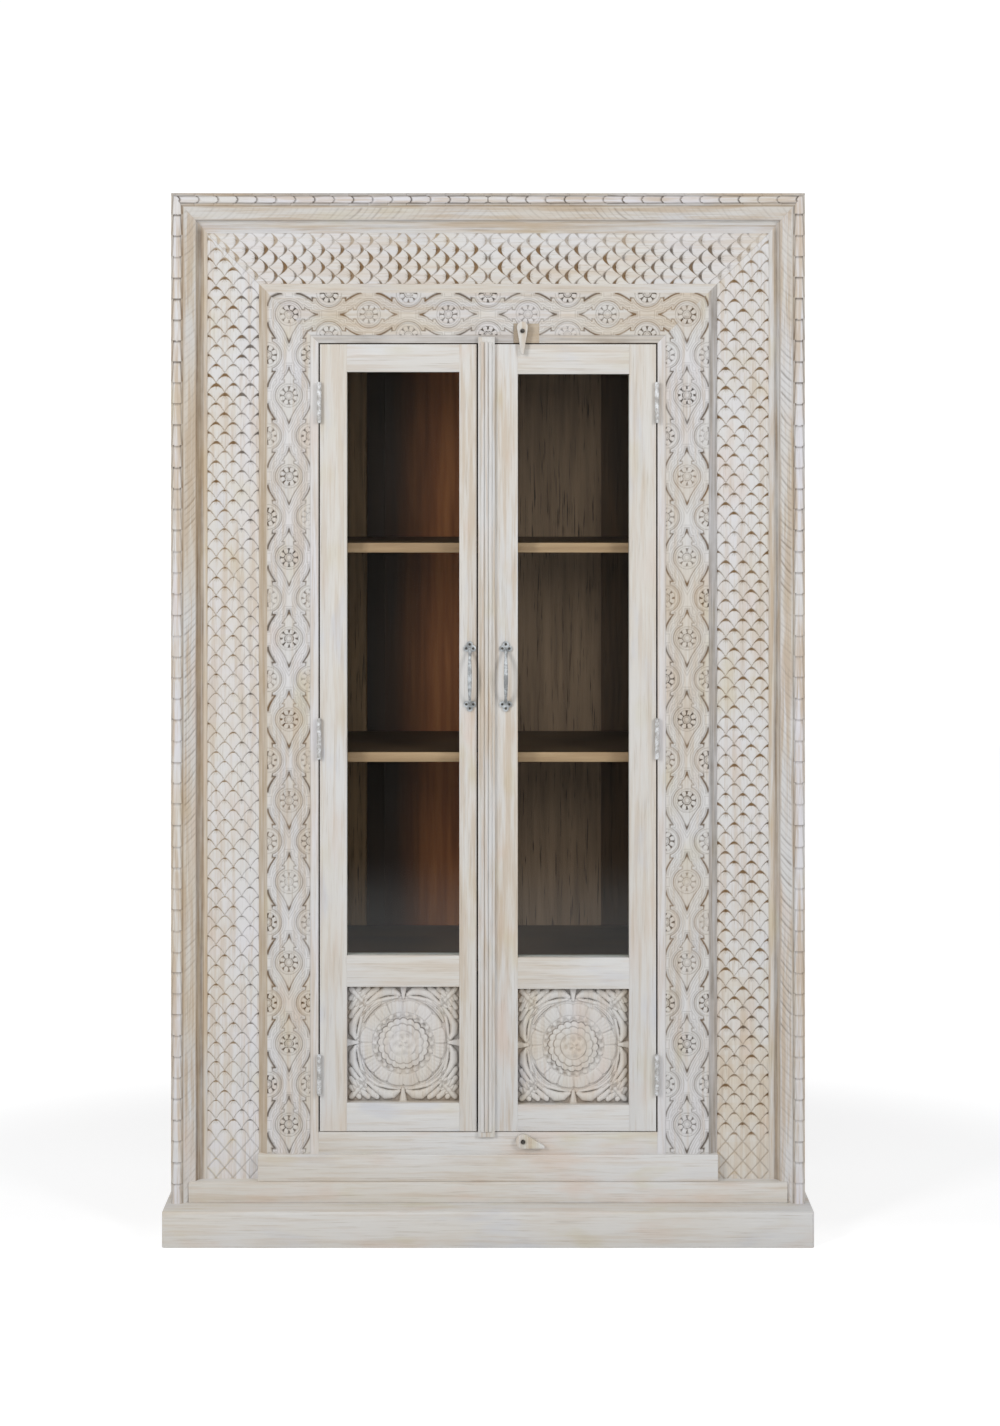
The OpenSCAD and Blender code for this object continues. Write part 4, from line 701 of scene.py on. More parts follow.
SCREW_IRON = aged_metal("screw_iron", (96, 92, 86), (48, 44, 40), 0.004, 0.42, 0.5)
STEEL = aged_metal("washed_steel", (222, 224, 226), (168, 166, 162), 0.012, 0.42, 0.30)
GLASS = window_glass("window_glass")


# The surround

def moulding_depth(a, q, widths, tongues, cove, leaves, tone, seed):
    """Outer moulding: a flat strip of tongues with worn arrises, a strip of leaf strokes that slopes back,
    and a hollow whose section is a quarter of an ellipse. widths are those of the strip of tongues, of the
    leaf strip and of the whole. cove holds the two shares of the hollow between which a streaked band of
    painted shade runs, and how dark it is. leaves is how strongly the leaf strokes show, and tone shifts the
    hue. Gives the depth, the stain with that painted shade, and the hue."""
    tongue, leaf, total = widths
    b = 2 * a / tongue - 1
    carved, stained, tinted = tongue_carving(b, q, *tongues, seed)
    arris = EDGE * 0.6 * (np.clip((np.abs(b) - 0.86) / 0.14, 0, 1) ** 2)
    strip = arris + carved * ease(np.abs(b), 1.0, 0.9)
    s = (a - tongue) / leaf
    strokes, stroke_stain = leaf_carving(s, q, leaves, seed + 10)
    slope = EDGE + (LEAF_BACK_D - EDGE) * s + strokes * ease(s, 0.0, 0.12) * ease(s, 1.0, 0.85)
    t = np.clip((a - tongue - leaf) / (total - tongue - leaf), 0, 1)
    hollow = LEAF_BACK_D + (FIELD_D - LEAF_BACK_D) * np.sqrt(np.clip(1 - (1 - t) ** 2, 0, 1))
    depth = np.where(a < tongue, strip, np.where(s < 1, slope, hollow))
    seam = cut_line(a - tongue, 0.0015)
    start, end, strength = cove
    streak = 0.75 + 0.35 * drift(a * 9, q * 0.22, 0.018, seed + 12)
    streak = streak + 0.45 * drift(a * 22, q * 0.12, 0.018, seed + 15)
    # painted shade in the hollow, streaked
    cove_shade = ease(t, start - 0.06, start + 0.06) * ease(t, end + 0.06, end - 0.06) * strength * streak
    cove_shade_and_stain = cove_shade + 0.04 + 0.10 * ease(t, 0.80, 0.95)
    stain_and_shade = np.where(a < tongue, stained, np.where(s < 1, stroke_stain + 0.03, cove_shade_and_stain))
    stain_and_shade = stain_and_shade + 0.50 * seam + 0.34 * cut_line(a - tongue - leaf, 0.0014)
    leaf_hue = tone + 0.2 + 0.4 * drift(q, a, 0.12, seed + 14) + 0.4 * seam
    cove_hue = tone + 0.15 + 0.4 * ease(q, 0.06, 0.22) + 0.5 * drift(a * 6, q * 0.3, 0.03, seed + 13)
    hue = np.where(a < tongue, tinted + tone, np.where(s < 1, leaf_hue, cove_hue))
    return depth + 0.0008 * seam, np.clip(stain_and_shade, 0, 1), hue


def side_moulding(side, dirt_and_shade, leaves, tone, a, z):
    """Outer moulding at a side: the tongues' lips point down. The hollow's painted shade runs between two
    shares of the hollow, as dark as the side gives, and fades out towards the top corner."""
    q = Z_TOP - z
    start, end, strength = dirt_and_shade
    cove = (start, end, strength * ease(q, *COVE_SHADE_START))
    widths = (TONGUE_W, LEAF_W, MOULDING_W)
    return moulding_depth(a, q, widths, SIDE_TONGUES, cove, leaves, tone, CARVER + side)


def top_moulding(a, x):
    """Outer moulding along the top: the tongues' lips point to the middle, and its upper edge is darker,
    more so at the left.
    """
    # a faint painted shade in the top hollow
    widths, cove = (TONGUE_H, LEAF_H, MOULDING_H), (0.35, 0.85, 0.14)
    depth, stain_and_shade, hue = moulding_depth(a, -np.abs(x), widths, TOP_TONGUES, cove, 0.7, -0.15, CARVER + 3)
    dark_edge = cut_line(a, 0.0022) * (0.75 - 0.25 * ease(x, -0.2, 0.4))
    return depth, np.maximum(stain_and_shade, dark_edge), hue


def build_outer_moulding():
    """The outer moulding's three lengths. The sides' hollows are notched for the base rail."""
    across = marks([0, EDGE, TONGUE_W - EDGE, TONGUE_W, TONGUE_W + LEAF_W, MOULDING_W], 0.0013)
    notch = np.where(across > X_BODY - X_BASE_RAIL, Z_BASE, Z_PLINTH)
    # the side hollows' painted shade, wider at the left
    for side, word, dirt_and_shade, leaves, tone in ((LEFT, "left", (0.02, 0.66, 0.52), 0.8, 0.0),
                                           (RIGHT, "right", (0.14, 0.50, 0.52), 1.0, -0.35)):
        carve = partial(side_moulding, side, dirt_and_shade, leaves, tone)
        side_board(side, "outer_moulding_" + word, across, X_BODY, (Z_TOP, Z_MOULDING), notch, carve,
                   WASH_MOULDING_UP, 0.0016)
    across = marks([0, EDGE, TONGUE_H - EDGE, TONGUE_H, TONGUE_H + LEAF_H, MOULDING_H], 0.0013)
    top_board("outer_moulding_top", across, (X_BODY, X_MOULDING), Z_TOP, top_moulding, WASH_MOULDING_ACROSS,
              0.0014)


def off_mitre(share_down, share_across, width):
    """Distance from the mitre of a board of that width. On the mitre the two shares are equal."""
    return np.abs(share_down - share_across) * width


def side_scales(side, start, a, z):
    """Fish scales of a side board, in rows down from its top, which cuts off the start of the first row.
    They are fainter at the mitre, and give way to plain lozenges near the foot. The left board's are worn,
    but deeper in its upper part, and its cuts are brown at the outer side. Gives the depth, the stain and
    the hue."""
    width, height = X_MOULDING - X_SCALE, Z_MOULDING - Z_SCALE
    down = Z_MOULDING - z
    outer = ease(a, 0.080, 0.040)
    if side == LEFT:
        fresh = ease(z, 1.25, 1.65)
        strong = 0.55 + 0.45 * fresh
        brown = 1.5 * outer - 0.55
        own = 0.35 * outer * fresh - 0.32
    else:
        strong = 0.95
        brown = 0.75 - 0.4 * outer * ease(z, 1.2, 0.4)
        own = 0.45 * ease(z, 0.62, 0.25) - 0.22
    cut, stain_and_shade, luck = scale_carving(a, down + start, SCALE_PITCH / 2, SCALE_PITCH, SCALE_ROW,
                                     SCALE_HOLLOW * strong, CARVER + 10 * side)
    plain, plain_stain = lattice_carving(a, down + start, SCALE_PITCH / 2, SCALE_PITCH, SCALE_ROW)
    share = ease(z, *LATTICE_Z)
    away = off_mitre(down / height, a / width, width)
    faint = 0.4 + 0.6 * ease(away, 0.006, 0.030)
    own = own + 0.35 * (scatter(luck * 91, 1, 4) - 0.5)
    worn = 0.3 * drift(a, z, 0.08, CARVER + side)
    hue = own + worn + (brown + 0.6 * luck - 0.3 - own) * np.clip(stain_and_shade * 1.5, 0, 1)
    mark = (plain_stain + (stain_and_shade - plain_stain) * share) * faint * (0.62 + 0.38 * strong)
    mark = mark + 0.35 * cut_line(away - 0.0004, 0.0010)
    depth = FIELD_D + (plain + (cut - plain) * share) * (0.5 + 0.5 * faint)
    return depth, np.clip(mark, 0, 1), hue


def top_scales(a, x):
    """Fish scales of the top board, in rows outwards from the middle. They are fainter at the mitres and
    along the upper edge, and browner at the left. Gives the depth, the stain and the hue."""
    width, height = X_MOULDING - X_SCALE, Z_MOULDING - Z_SCALE
    q = np.abs(x)
    cut, stain_and_shade, luck = scale_carving(a, q, TOP_FIRST, TOP_PITCH, TOP_ROW, TOP_HOLLOW, CARVER + 20)
    away = off_mitre((X_MOULDING - q) / width, a / height, height)
    faint = (0.4 + 0.6 * ease(away, 0.006, 0.030)) * (0.5 + 0.5 * ease(a, 0.018, 0.034))
    brown = 0.85 - 0.5 * ease(x, -0.05, 0.10)
    hue = 0.35 * drift(a, x, 0.09, CARVER) - 0.2 + (brown + 0.8 * luck - 0.5) * np.clip(stain_and_shade * 1.5, 0, 1)
    return FIELD_D + cut * (0.4 + 0.7 * faint), np.clip(stain_and_shade * faint * 1.05, 0, 1), hue


def build_scale_boards():
    """The three boards of fish scales."""
    across = marks([0, X_MOULDING - X_SCALE], 0.0014)
    for side, word, start, finish in ((LEFT, "left", 0.0106, WASH_UP_LEFT),
                                      (RIGHT, "right", 0.0052, WASH_UP_RIGHT)):
        carve = partial(side_scales, side, start)
        side_board(side, "scale_board_" + word, across, X_MOULDING, (Z_MOULDING, Z_SCALE),
                   Z_BASE + 0 * across, carve, finish, 0.0014)
    across = marks([0, Z_MOULDING - Z_SCALE], 0.0012)
    top_board("scale_board_top", across, (X_MOULDING, X_SCALE), Z_MOULDING, top_scales, WASH_ACROSS, 0.0012)


def frame_depth(a, q, widths, period, upright, bevel_shade_and_hue, tone, seed):
    """Inner frame: a bevel that rises to the face, the ogee band, a plain strip, and behind its edge the lip
    that the doors rest on. widths are those of the bevel, of the plain strip and of all but the lip. The
    bevel gets the given painted shade, in streaks, and hue, and tone tints the band. The painted shadow line
    beside the doors ends at the sill. Gives the depth, the stain with this painted shade, and the hue."""
    slope, plain, total = widths
    band = total - slope - plain
    bevel = FIELD_D - (FIELD_D - FACE_D) * a / slope
    carved, stained, tinted = ogee_carving(a - slope - band / 2, q, band, period, upright, tone, seed)
    border = cut_line(a - slope - band, 0.0009)
    depth = np.where(a < slope, bevel, np.where(a < slope + band, FACE_D + carved, FACE_D + 0.0007))
    depth = np.where(a > total, STOP_D, depth + 0.0008 * border)
    bevel_shade, bevel_hue = bevel_shade_and_hue
    streak = drift(a * 7, q * 0.2, 0.016, seed + 3)
    # painted shade on the bevel, in streaks
    stain_and_shade = np.where(a < slope, bevel_shade * (1 + 0.5 * streak), np.where(a < slope + band, stained, 0.0))
    above_sill = q < ROSETTE_TOP - Z_SILL
    # a painted shadow line on the frame's edge beside the doors
    stain_and_shade = np.where(a > total - DOOR_GAP * above_sill, 1.0, np.clip(stain_and_shade + 0.26 * border, 0, 1))
    own = 0.3 * drift(a, q, 0.10, seed + 6) - 0.45
    hue = np.where(a < slope, bevel_hue + 0.3 * streak, np.where(a < slope + band, tinted, own))
    return depth, stain_and_shade, hue


def side_frame(side, bevel_shade_and_hue, tone, a, z):
    """Inner frame at a side, with a rosette in the corner and the others below it."""
    widths, seed = (SLOPE_W, PLAIN_W, X_SCALE - X_OPEN), CARVER + 30 * side
    return frame_depth(a, ROSETTE_TOP - z, widths, ROSETTE_PITCH, True, bevel_shade_and_hue, tone, seed)


def top_frame(a, x):
    """Inner frame along the top, with a rosette in either corner and four between them. Its plain strip is
    darker in streaks, and has the cut seat of the top clasp."""
    total = Z_SCALE - Z_OPEN
    widths, period = (SLOPE_H, PLAIN_H, total), 2 * ROSETTE_END / 5
    # the top bevel is hardly shaded
    depth, stain_and_shade, hue = frame_depth(a, x + ROSETTE_END, widths, period, False, (0.02, 0.1), -0.2,
                                    CARVER + 40)
    plain = ease(a, total - PLAIN_H - 0.004, total - PLAIN_H + 0.004)
    stain_and_shade = stain_and_shade + plain * (0.28 + 0.20 * drift(a * 9, x * 0.25, 0.02, CARVER + 43))
    hue = hue + 0.3 * plain
    z = Z_SCALE - a
    left, right, upper = CLASP_SEAT
    seat = (x > left) & (x < right) & (z < upper) & (a < total)
    worn = 0.0003 * drift(x, z, 0.004, 5)
    depth = np.where(seat, FACE_D + SEAT_DEPTH + worn, depth)
    return depth, np.where(seat, 0.30, stain_and_shade), np.where(seat, 0.9, hue)


def build_inner_frame():
    """The inner frame's three lengths, with the lip."""
    total = X_SCALE - X_OPEN
    across = marks([0, SLOPE_W, total - PLAIN_W, total, total + LIP_STEP, total + STOP_W], 0.0013)
    foot = np.where(across > total, Z_SILL + STOP_W, Z_LOWER)
    # each side's bevel: its painted shade and hue; the right bevel is shaded darker
    for side, word, finish, bevel_shade_and_hue, tone in ((LEFT, "left", WASH_UP_LEFT, (0.27, 0.75), 0.2),
                                                  (RIGHT, "right", WASH_UP_RIGHT, (0.42, -0.3), 0.1)):
        carve = partial(side_frame, side, bevel_shade_and_hue, tone)
        side_board(side, "inner_frame_" + word, across, X_SCALE, (Z_SCALE, Z_OPEN - STOP_W), foot, carve,
                   finish, 0.0017)
    total = Z_SCALE - Z_OPEN
    across = marks([0, SLOPE_H, total - PLAIN_H, total, total + LIP_STEP, total + STOP_W], 0.0013)
    top_board("inner_frame_top", across, (X_SCALE, X_OPEN - STOP_W), Z_SCALE, top_frame, WASH_ACROSS, 0.0014)


# Door panels

def capsule(u, v, start, end, wide, narrow):
    """Height from 0 to 1 of a rounded finger between two points: a circle section that narrows to its end,
    as the square root of 1 less the square of the distance over the radius."""
    along_u, along_v = end[0] - start[0], end[1] - start[1]
    length2 = along_u ** 2 + along_v ** 2
    t = np.clip(((u - start[0]) * along_u + (v - start[1]) * along_v) / length2, 0, 1)
    distance = np.hypot(u - start[0] - t * along_u, v - start[1] - t * along_v)
    radius = wide + (narrow - wide) * t
    return np.sqrt(np.clip(1 - (distance / radius) ** 2, 0, 1))


def stroke(s, t, points):
    """Height from 0 to 1 of a rounded stroke through points, each with its place s and t and half width."""
    height = np.zeros_like(s)
    for start, end in zip(points, points[1:]):
        height = np.maximum(height, capsule(s, t, start, end, start[2], end[2]))
    return height


class Relief:
    """Overlapping carved shapes: the highest at each place, and how dark the crease where two meet is
    painted, partly dirt and partly painted shade.
    """

    def __init__(self, shape):
        self.height = np.zeros(shape)
        self.crease = np.zeros(shape)

    def lay(self, shape):
        """Adds a shape. A crease lies where it is about as high as what was there before."""
        both = ease(np.minimum(shape, self.height), 0.0006, 0.0018)
        here = cut_line(shape - self.height, 0.0008) * both
        above = ease(shape - self.height, 0.0012, 0.0002)
        self.crease = np.maximum(self.crease * above, here)
        self.height = np.maximum(self.height, shape)


FLOWER_R, PETALS, RIBS = 0.084, 16, 64
# Petals, radius, height, turn in a metre and start of each inner ring
INNER_RINGS = ((20, 0.049, 0.0080, 5.0, 0.0), (13, 0.0385, 0.0096, 9.0, 0.15))
BUD_R = 0.025
BEAD_RING_R, BEAD_R, BEADS = 0.0545, 0.0048, 22
HIGHEST = 0.0128                                # above the ground board


def flower_height(x, z, seed):
    """A flower in rising rings: an outer ring of ribbed petals, a ring of beads with dark dots between them,
    two inner rings of round petals that turn with the radius, and a bud of curled ridges. Gives the height
    and the stain."""
    x = x + 0.0012 * drift(x, z, 0.04, seed)
    z = z + 0.0012 * drift(z, x, 0.04, seed + 1)
    rho, angle = np.hypot(x, z), np.arctan2(x, z)
    worn = 0.5 + 0.5 * drift(x, z, 0.035, seed + 2)
    outer, ribs = petal_gap(angle, PETALS), petal_gap(angle, RIBS)
    rim = FLOWER_R * (1 - 0.035 * outer ** 3)
    ring = 0.0054 + 0.0022 * np.sin(math.pi * np.clip((rho - 0.054) / 0.034, 0, 1))
    ring = ring - 0.0012 * ease(outer, 0.80, 1.0)
    ring = ring - 0.0006 * ease(ribs, 0.3, 1.0) * ease(rho, 0.060, 0.068) * worn
    height = ring * ease(rho, rim + 0.0006, rim - 0.0030)
    stain_and_shade = 0.30 * cut_line(1 - outer, 0.10) * worn
    stain_and_shade = stain_and_shade + 0.12 * cut_line(1 - ribs, 0.35) * ease(rho, 0.060, 0.066) * worn
    spread = petal_gap(angle, BEADS) * math.pi * BEAD_RING_R / BEADS
    bead = np.sqrt(np.clip(1 - ((rho - BEAD_RING_R) ** 2 + spread ** 2) / BEAD_R ** 2, 0, 1))
    on_ring = np.abs(rho - BEAD_RING_R) < 0.0052
    height = np.where(on_ring, 0.0052 + 0.0034 * bead * (0.5 + 0.5 * worn), height)
    between = cut_line(petal_gap(angle, BEADS) - 1, 0.42) * cut_line(rho - BEAD_RING_R, 0.0030)
    stain_and_shade = np.where(on_ring, 0.85 * between * worn ** 1.5 + 0.10 * (1 - bead), stain_and_shade)
    for count, top, rise, turn, shift in INNER_RINGS:
        swept = petal_gap(angle + shift + turn * np.clip(rho - BUD_R, 0, 1), count)
        edge = top * (1 - 0.075 * swept ** 2)
        crown = np.sin(math.pi * np.clip((rho - 0.6 * top) / (0.4 * top), 0, 1))
        inside = rho < edge
        height = np.where(inside, rise + 0.0012 * crown * (1 - 0.8 * swept ** 2), height)
        lip = cut_line(rho - edge, 0.0010) * (0.25 + 0.55 * worn)
        stain_and_shade = np.where(inside, 0.22 * cut_line(1 - swept, 0.22) * worn, stain_and_shade)
        stain_and_shade = np.maximum(stain_and_shade, lip)
    curl = np.cos(3 * angle - rho / BUD_R * 7.0) + 0.6 * np.cos(5 * angle + rho / BUD_R * 9)
    bud = 0.0106 + 0.0011 * curl * ease(rho, 0.001, 0.005) + 0.0008 * ease(rho, 0.012, 0.0)
    in_bud = rho < BUD_R
    height = np.where(in_bud, bud, height)
    stain_and_shade = np.where(in_bud, 0.34 * ease(curl, -0.4, -1.4) * worn, stain_and_shade)
    stain_and_shade = np.maximum(stain_and_shade, 0.45 * cut_line(rho - BUD_R, 0.0009) * ease(worn, 0.3, 0.7))
    return np.clip(height, 0, HIGHEST), stain_and_shade


LEAF_STROKES = (                                # each point: place s, place t and half width
    ((0.008, 0.0165, 0.0036), (0.020, 0.0105, 0.0074), (0.034, 0.0102, 0.0082), (0.050, 0.0180, 0.0054),
     (0.068, 0.0300, 0.0036), (0.084, 0.0360, 0.0030)),
    ((0.010, 0.0200, 0.0020), (0.028, 0.0225, 0.0034), (0.048, 0.0265, 0.0036), (0.066, 0.0355, 0.0036),
     (0.080, 0.0500, 0.0030)),
    ((0.044, 0.0305, 0.0018), (0.056, 0.0377, 0.0036), (0.068, 0.0492, 0.0038), (0.076, 0.0600, 0.0030)),
    ((0.0500, 0.0060, 0.0048), (0.0590, 0.0112, 0.0056), (0.072, 0.0225, 0.0042), (0.084, 0.0330, 0.0030)),
    ((0.0675, 0.0060, 0.0048), (0.0765, 0.0122, 0.0054), (0.086, 0.0235, 0.0042), (0.090, 0.0340, 0.0030)),
    ((0.0850, 0.0060, 0.0048), (0.0925, 0.0130, 0.0052), (0.096, 0.0250, 0.0038)))
CORNER_STROKE = ((0.040, 0.042, 0.0034), (0.026, 0.027, 0.0052), (0.014, 0.014, 0.0064),
                 (0.0075, 0.0075, 0.0056))
SIDE_GAP = 0.0235                               # from the frame to the flower where the strokes were drawn


def lay_leaf(relief, s, t, seed):
    """One acanthus leaf along half a side: s runs from the knot at the middle of the side to the corner, and
    t from the frame inwards. The long lobe ends at the knot, two ridges run beside it along the flower, and
    the short lobes curl against the frame towards the knot. The later a stroke, the lower it lies."""
    for number, points in enumerate(LEAF_STROKES):
        rise = 0.0060 - 0.0004 * number + 0.0005 * scatter(number, seed, 3)
        relief.lay(rise * stroke(s, t, points) ** 0.85)


def panel_relief(x, z, half_w, half_h, seed):
    """The carving above its ground: the flower, eight leaves, a stem to each corner and four wedges that tie
    the leaves. Gives the height and the stain, which darkens the ground, the creases and the gap round the
    flower with dirt and painted shade."""
    x = x + 0.0010 * drift(x, z, 0.045, seed + 4)
    z = z + 0.0010 * drift(z, x, 0.045, seed + 5)
    sideways, upright = np.abs(x), np.abs(z)
    rho = np.hypot(x, z)
    flower, flower_stain = flower_height(x, z, seed)
    relief = Relief(x.shape)
    relief.lay(0.0026 * ease(rho, FLOWER_R + 0.0075, FLOWER_R + 0.0045))
    quarter = 2 * (x > 0) + (z > 0)
    for number in range(4):
        here = quarter == number
        leaf = Relief(x.shape)
        lay_leaf(leaf, sideways, (half_h - upright) * SIDE_GAP / (half_h - FLOWER_R), seed + 7 * number)
        lay_leaf(leaf, upright, (half_w - sideways) * SIDE_GAP / (half_w - FLOWER_R), seed + 7 * number + 3)
        leaf.lay(0.0056 * stroke(half_w - sideways, half_h - upright, CORNER_STROKE) ** 0.85)
        relief.height = np.where(here, np.maximum(relief.height, leaf.height), relief.height)
        relief.crease = np.where(here, leaf.crease, relief.crease)
    for across, out, reach in ((sideways, upright, half_h), (upright, sideways, half_w)):
        share = np.clip((out - FLOWER_R) / (reach - FLOWER_R), 0, 1)
        half = 0.0026 + 0.0050 * share
        relief.lay(0.0058 * np.sqrt(np.clip(1 - (across / half) ** 4, 0, 1)) * (out > FLOWER_R - 0.001))
    in_flower = rho < FLOWER_R + 0.0006
    height = np.where(in_flower, np.maximum(flower, 0.0026), relief.height)
    ground = ease(height, 0.0022, 0.0002)
    gap = cut_line(rho - FLOWER_R - 0.0004, 0.0012) * (0.30 + 0.25 * drift(x, z, 0.05, seed + 9))
    # ground, creases and the gap round the flower darkened: partly dirt, partly painted shade
    stain_and_shade = np.where(in_flower, flower_stain, 0.52 * ground + 0.42 * relief.crease)
    return height, np.maximum(stain_and_shade, gap)


PANEL_STEP = 0.0009
PANEL_TUCK = 0.0078                             # the rim that lies in the grooves of stiles and rails
GROUND_T = 0.007                                # the board under the carving


def build_carved_panels():
    """The two door panels: a flat rim, and the relief on its ground, cut off level with the rim."""
    for side, word in ((LEFT, "left"), (RIGHT, "right")):
        node = word + "_carved_panel"
        corner, far = low(node), high(node)
        x_mid, z_mid = (corner.x + far.x) / 2, (corner.z + far.z) / 2
        half_w, half_h = (far.x - corner.x) / 2 - PANEL_TUCK, (far.z - corner.z) / 2 - PANEL_TUCK
        xs = marks([corner.x, corner.x + PANEL_TUCK, far.x - PANEL_TUCK, far.x], PANEL_STEP)
        zs = marks([corner.z, corner.z + PANEL_TUCK, far.z - PANEL_TUCK, far.z], PANEL_STEP)
        x, z = np.meshgrid(xs - x_mid, zs - z_mid)
        height, stain_and_shade = panel_relief(x, z, half_w, half_h, CARVER + 50 * side)
        border = (np.abs(x) > half_w) | (np.abs(z) > half_h)
        ground_y = far.y - GROUND_T
        top = ground_y - corner.y
        height = np.where(border, top, np.minimum(height, top))
        # steep faces of the relief are painted darker: painted shade
        slope = np.hypot(*np.gradient(height, PANEL_STEP))
        stain_and_shade = np.where(border, 0.1, stain_and_shade + 0.12 * ease(slope, 0.6, 1.8) + 0.02)
        front = np.stack([x + x_mid, ground_y - height, z + z_mid], -1)
        hue = 0.05 + 0.55 * drift(x, z, 0.055, CARVER + side)
        piece = carved_shell(node + "_carved", front, far.y, np.clip(stain_and_shade, 0, 1), hue)
        dress(piece, node, WASH_PANEL)


# Plain timbers and metal

def softened(node, width, finish):
    """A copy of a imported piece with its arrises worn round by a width: its doubles merged, its flat faces
    joined, and a bevel on every edge that turns by more than 30 degrees."""
    mesh = frame["nodes"][node].data.copy()
    piece = add_object(node + "_worn", mesh)
    shape = bmesh.new()
    shape.from_mesh(mesh)
    bmesh.ops.remove_doubles(shape, verts=shape.verts, dist=1e-6)
    bmesh.ops.dissolve_limit(shape, angle_limit=math.radians(1), verts=shape.verts, edges=shape.edges)
    shape.to_mesh(mesh)
    shape.free()
    mesh.shade_smooth()
    bevel = piece.modifiers.new("worn arrises", "BEVEL")
    bevel.width = width
    bevel.segments = 2
    bevel.limit_method = "ANGLE"
    bevel.angle_limit = math.radians(30)
    bevel.harden_normals = True
    return dress(piece, node, finish)


PLATE_T = 0.0035                                # thickness of a pull's end plates, with room to spare
BAR_HALF = 0.046                                # half the length of its bar


def taper_bar(piece, node):
    """Narrows the bar of a pull from its middle to half at its ends, as the square of the distance, and
    leaves its end plates as they are."""
    plates = high(node).y - PLATE_T
    place = np.empty(len(piece.data.vertices) * 3, np.float32)
    piece.data.vertices.foreach_get("co", place)
    place = place.reshape(-1, 3)
    x_mid, z_mid = (low(node).x + high(node).x) / 2, (low(node).z + high(node).z) / 2
    share = np.clip(np.abs(place[:, 2] - z_mid) / BAR_HALF, 0, 1)
    width = np.where(place[:, 1] < plates, 1 - 0.5 * share ** 2, 1)
    place[:, 0] = x_mid + (place[:, 0] - x_mid) * width
    piece.data.vertices.foreach_set("co", place.ravel())


def keep(node, finish):
    """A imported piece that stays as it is, in the given finish."""
    mesh = frame["nodes"][node].data
    mesh.materials.clear()
    mesh.materials.append(finish)


def build_timbers():
    """Every piece without carving, in its finish. Timbers, pulls and clasps get worn arrises."""
    for node in ("base_rail", "lower_rail", "sill_rail"):
        softened(node, 0.0014, WASH_RAILS)
    softened("plinth_front", 0.0016, WASH_PLINTH)
    softened("plinth_back", 0.0016, WASH_PLINTH)
    softened("plinth_returns", 0.0016, WASH_DEEP)
    softened("top_board", 0.0014, WASH_ACROSS)
    for word in ("left", "right"):
        softened(word + "_hinge_stile", 0.0010, WASH_DOOR_UP)
        softened(word + "_meeting_stile", 0.0010, WASH_MEETING)
        softened(word + "_door_rails", 0.0006, WASH_DOOR_ACROSS)
        softened("side_stiles_" + word, 0.0012, WASH_UP_LEFT)
        softened("side_rails_" + word, 0.0008, WASH_DEEP)
        keep("side_panels_" + word, WASH_UP_RIGHT)
        keep(word + "_glass_beads", WASH_DOOR_UP)
        keep(word + "_glass", GLASS)
        taper_bar(softened(word + "_handle", 0.0007, IRON), word + "_handle")
        keep(word + "_handle_screws", SCREW_IRON)
        keep(word + "_hinge_leaves", STEEL)
        keep("frame_hinge_leaves_" + word, STEEL)
    keep("hinge_pins", STEEL)
    softened("astragal", 0.0008, WASH_ASTRAGAL)
    softened("top_clasp", 0.0014, WASH_CLASP)
    softened("bottom_clasp", 0.0014, WASH_CLASP)
    keep("clasp_screws", SCREW_IRON)
    for node in ("shelf_top", "shelf_middle", "shelf_bottom"):
        softened(node, 0.0012, SHELF_WOOD)
    keep("floor_board", DARK_WOOD)
    keep("shelf_cleats", DARK_WOOD)
    keep("back_boards_left", PALE_BOARD)
    keep("back_narrow_board", NARROW_BOARD)
    keep("back_panel_left", RED_PANEL)
    keep("back_panel_right", GREY_PANEL)
    keep("back_boards_right", DARK_BOARD)
    keep("back_battens", PALE_BOARD)


# Studio

FLOOR_SIZE = 14
SKY_COLOUR, SKY, SEEN_SKY = (0.97, 0.98, 1.0, 1), 0.475, 1.05
LAMP_LEFT, LAMP_RIGHT = 79, 62
LAMP_X, LAMP_Y, LAMP_Z = 2.9, -3.2, 2.7
LAMP_W, LAMP_H = 1.0, 1.8
LAMP_AIM = Vector((0, 0, 1.0))
CAMERA_PLACE = (0.0, -4.378, 1.497)
CAMERA_LENS = 55.46
CAMERA_SHIFT = (0.0084, -0.180)


def grey(tone):
    """A grey as a linear colour."""
    return (tone, tone, tone, 1)


def build_camera():
    """The camera, level and straight ahead, shifted down to the photograph's frame."""
    camera = bpy.data.cameras.new("camera")
    camera.lens = CAMERA_LENS
    camera.sensor_width = 36
    camera.shift_x, camera.shift_y = CAMERA_SHIFT
    holder = add_object("camera", camera)
    holder.location = CAMERA_PLACE
    holder.rotation_euler = (math.pi / 2, 0, 0)
    bpy.context.scene.camera = holder
    bpy.context.scene.view_settings.view_transform = "Standard"


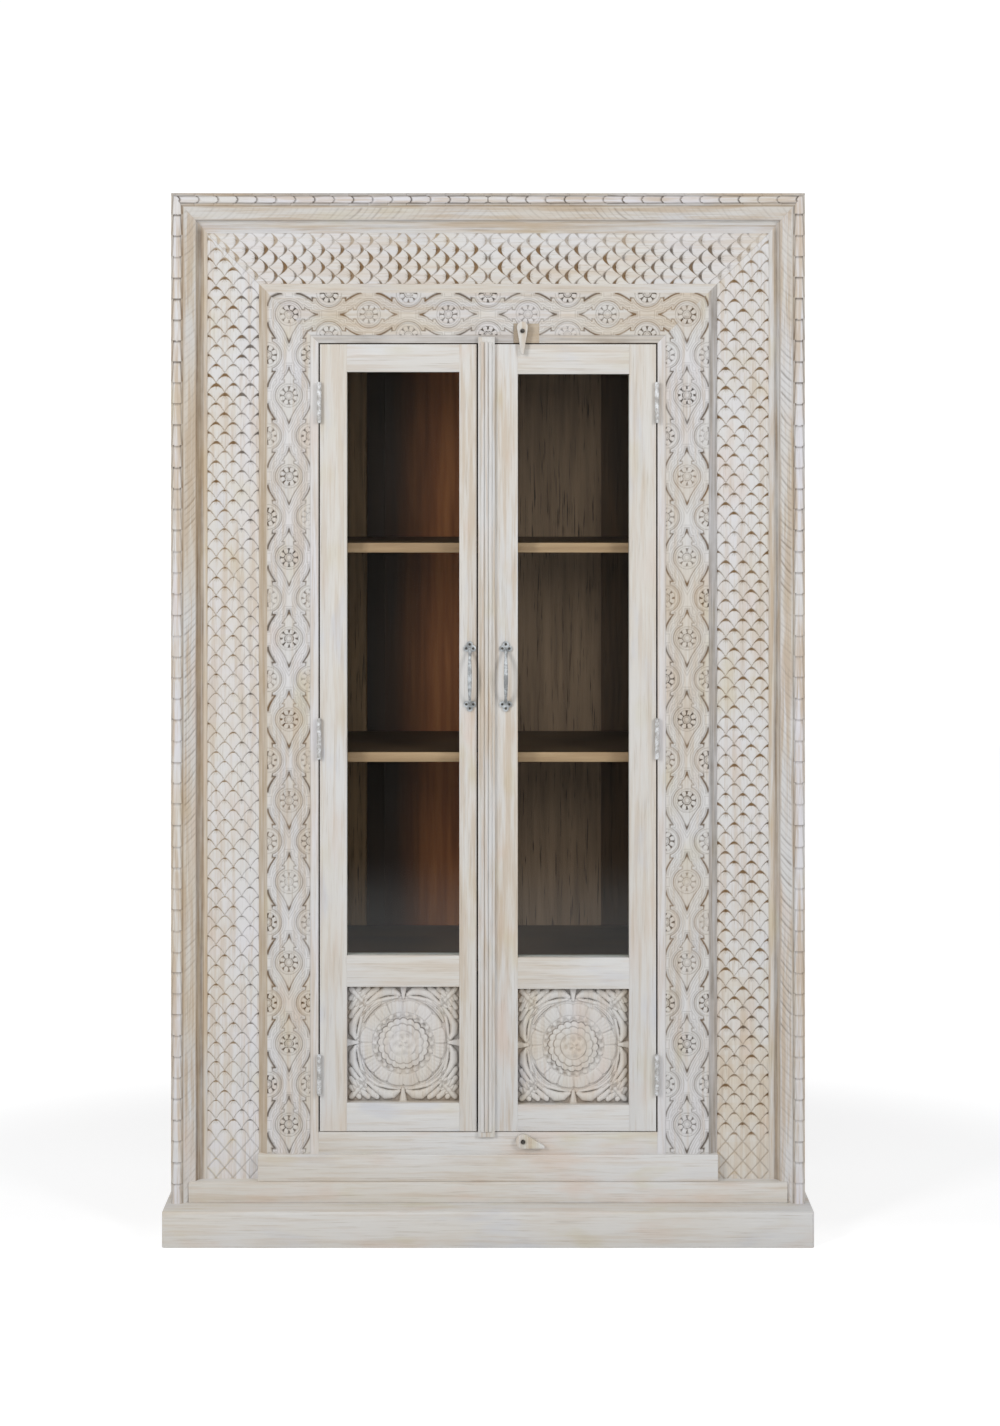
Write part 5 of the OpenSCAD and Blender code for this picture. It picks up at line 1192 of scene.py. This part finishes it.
def build_floor():
    """A pale matt floor. The camera sees it as a weak matt part, which catches the shadow, and a glow: a
    little weaker beside and behind the plinth, as a painted shadow, and as white as the sky further out."""
    bpy.ops.mesh.primitive_plane_add(size=FLOOR_SIZE)
    floor = bpy.context.object
    floor.name = "studio_floor"
    f = new_finish("studio_floor")
    x, y = f.coordinate(X), f.coordinate(Y)
    # painted shadow: the glow is greyer behind the cabinet's front and near it
    behind = f.rise(y, -0.20, -0.05)
    far = f.rise(x * x * 0.36 + y * y, 0.5, 1.25)
    tone = f.mix(far, f.mix(behind, grey(0.90), grey(0.83)), WHITE)
    glow = f.node("Emission", {}, {"Color": tone, "Strength": 0.79}, "Emission")
    catch = f.node("BsdfDiffuse", {}, {"Color": grey(0.45)}, "BSDF")
    seen = f.node("AddShader", {}, {0: catch, 1: glow}, "Shader")
    matt = f.node("BsdfDiffuse", {}, {"Color": grey(0.80)}, "BSDF")
    path = f.node("LightPath", {}, {}, "Is Camera Ray")
    floor.data.materials.append(f.end(f.node("MixShader", {}, {0: path, 1: matt, 2: seen}, "Shader")))


def build_sky():
    """A plain sky that lights evenly from all sides, and that the camera, gloss and glass see as white."""
    f = Shading(bpy.data.worlds.new("studio_sky"))
    straight, gloss, through = [f.node("LightPath", {}, {}, "Is %s Ray" % kind)
                                for kind in ("Camera", "Glossy", "Transmission")]
    seen = f.larger(f.larger(straight, gloss), through)
    light = f.node("Background", {}, {"Color": SKY_COLOUR, "Strength": SKY}, "Background")
    white = f.node("Background", {}, {"Color": WHITE, "Strength": SEEN_SKY}, "Background")
    shader = f.node("MixShader", {}, {0: seen, 1: light, 2: white}, "Shader")
    bpy.context.scene.world = f.end(shader, "OutputWorld")


def build_lamps():
    """Two soft lamps in front of the cabinet, the stronger one at the left."""
    for side, power in ((LEFT, LAMP_LEFT), (RIGHT, LAMP_RIGHT)):
        lamp = bpy.data.lights.new("soft_lamp", "AREA")
        lamp.shape = "RECTANGLE"
        lamp.size, lamp.size_y = LAMP_W, LAMP_H
        lamp.energy = power
        holder = add_object("soft_lamp", lamp)
        holder.location = (side * LAMP_X, LAMP_Y, LAMP_Z)
        holder.rotation_euler = (LAMP_AIM - holder.location).to_track_quat("-Z", "Y").to_euler()


build_camera()
build_floor()
build_sky()
build_lamps()
build_outer_moulding()
build_scale_boards()
build_inner_frame()
build_carved_panels()
build_timbers()
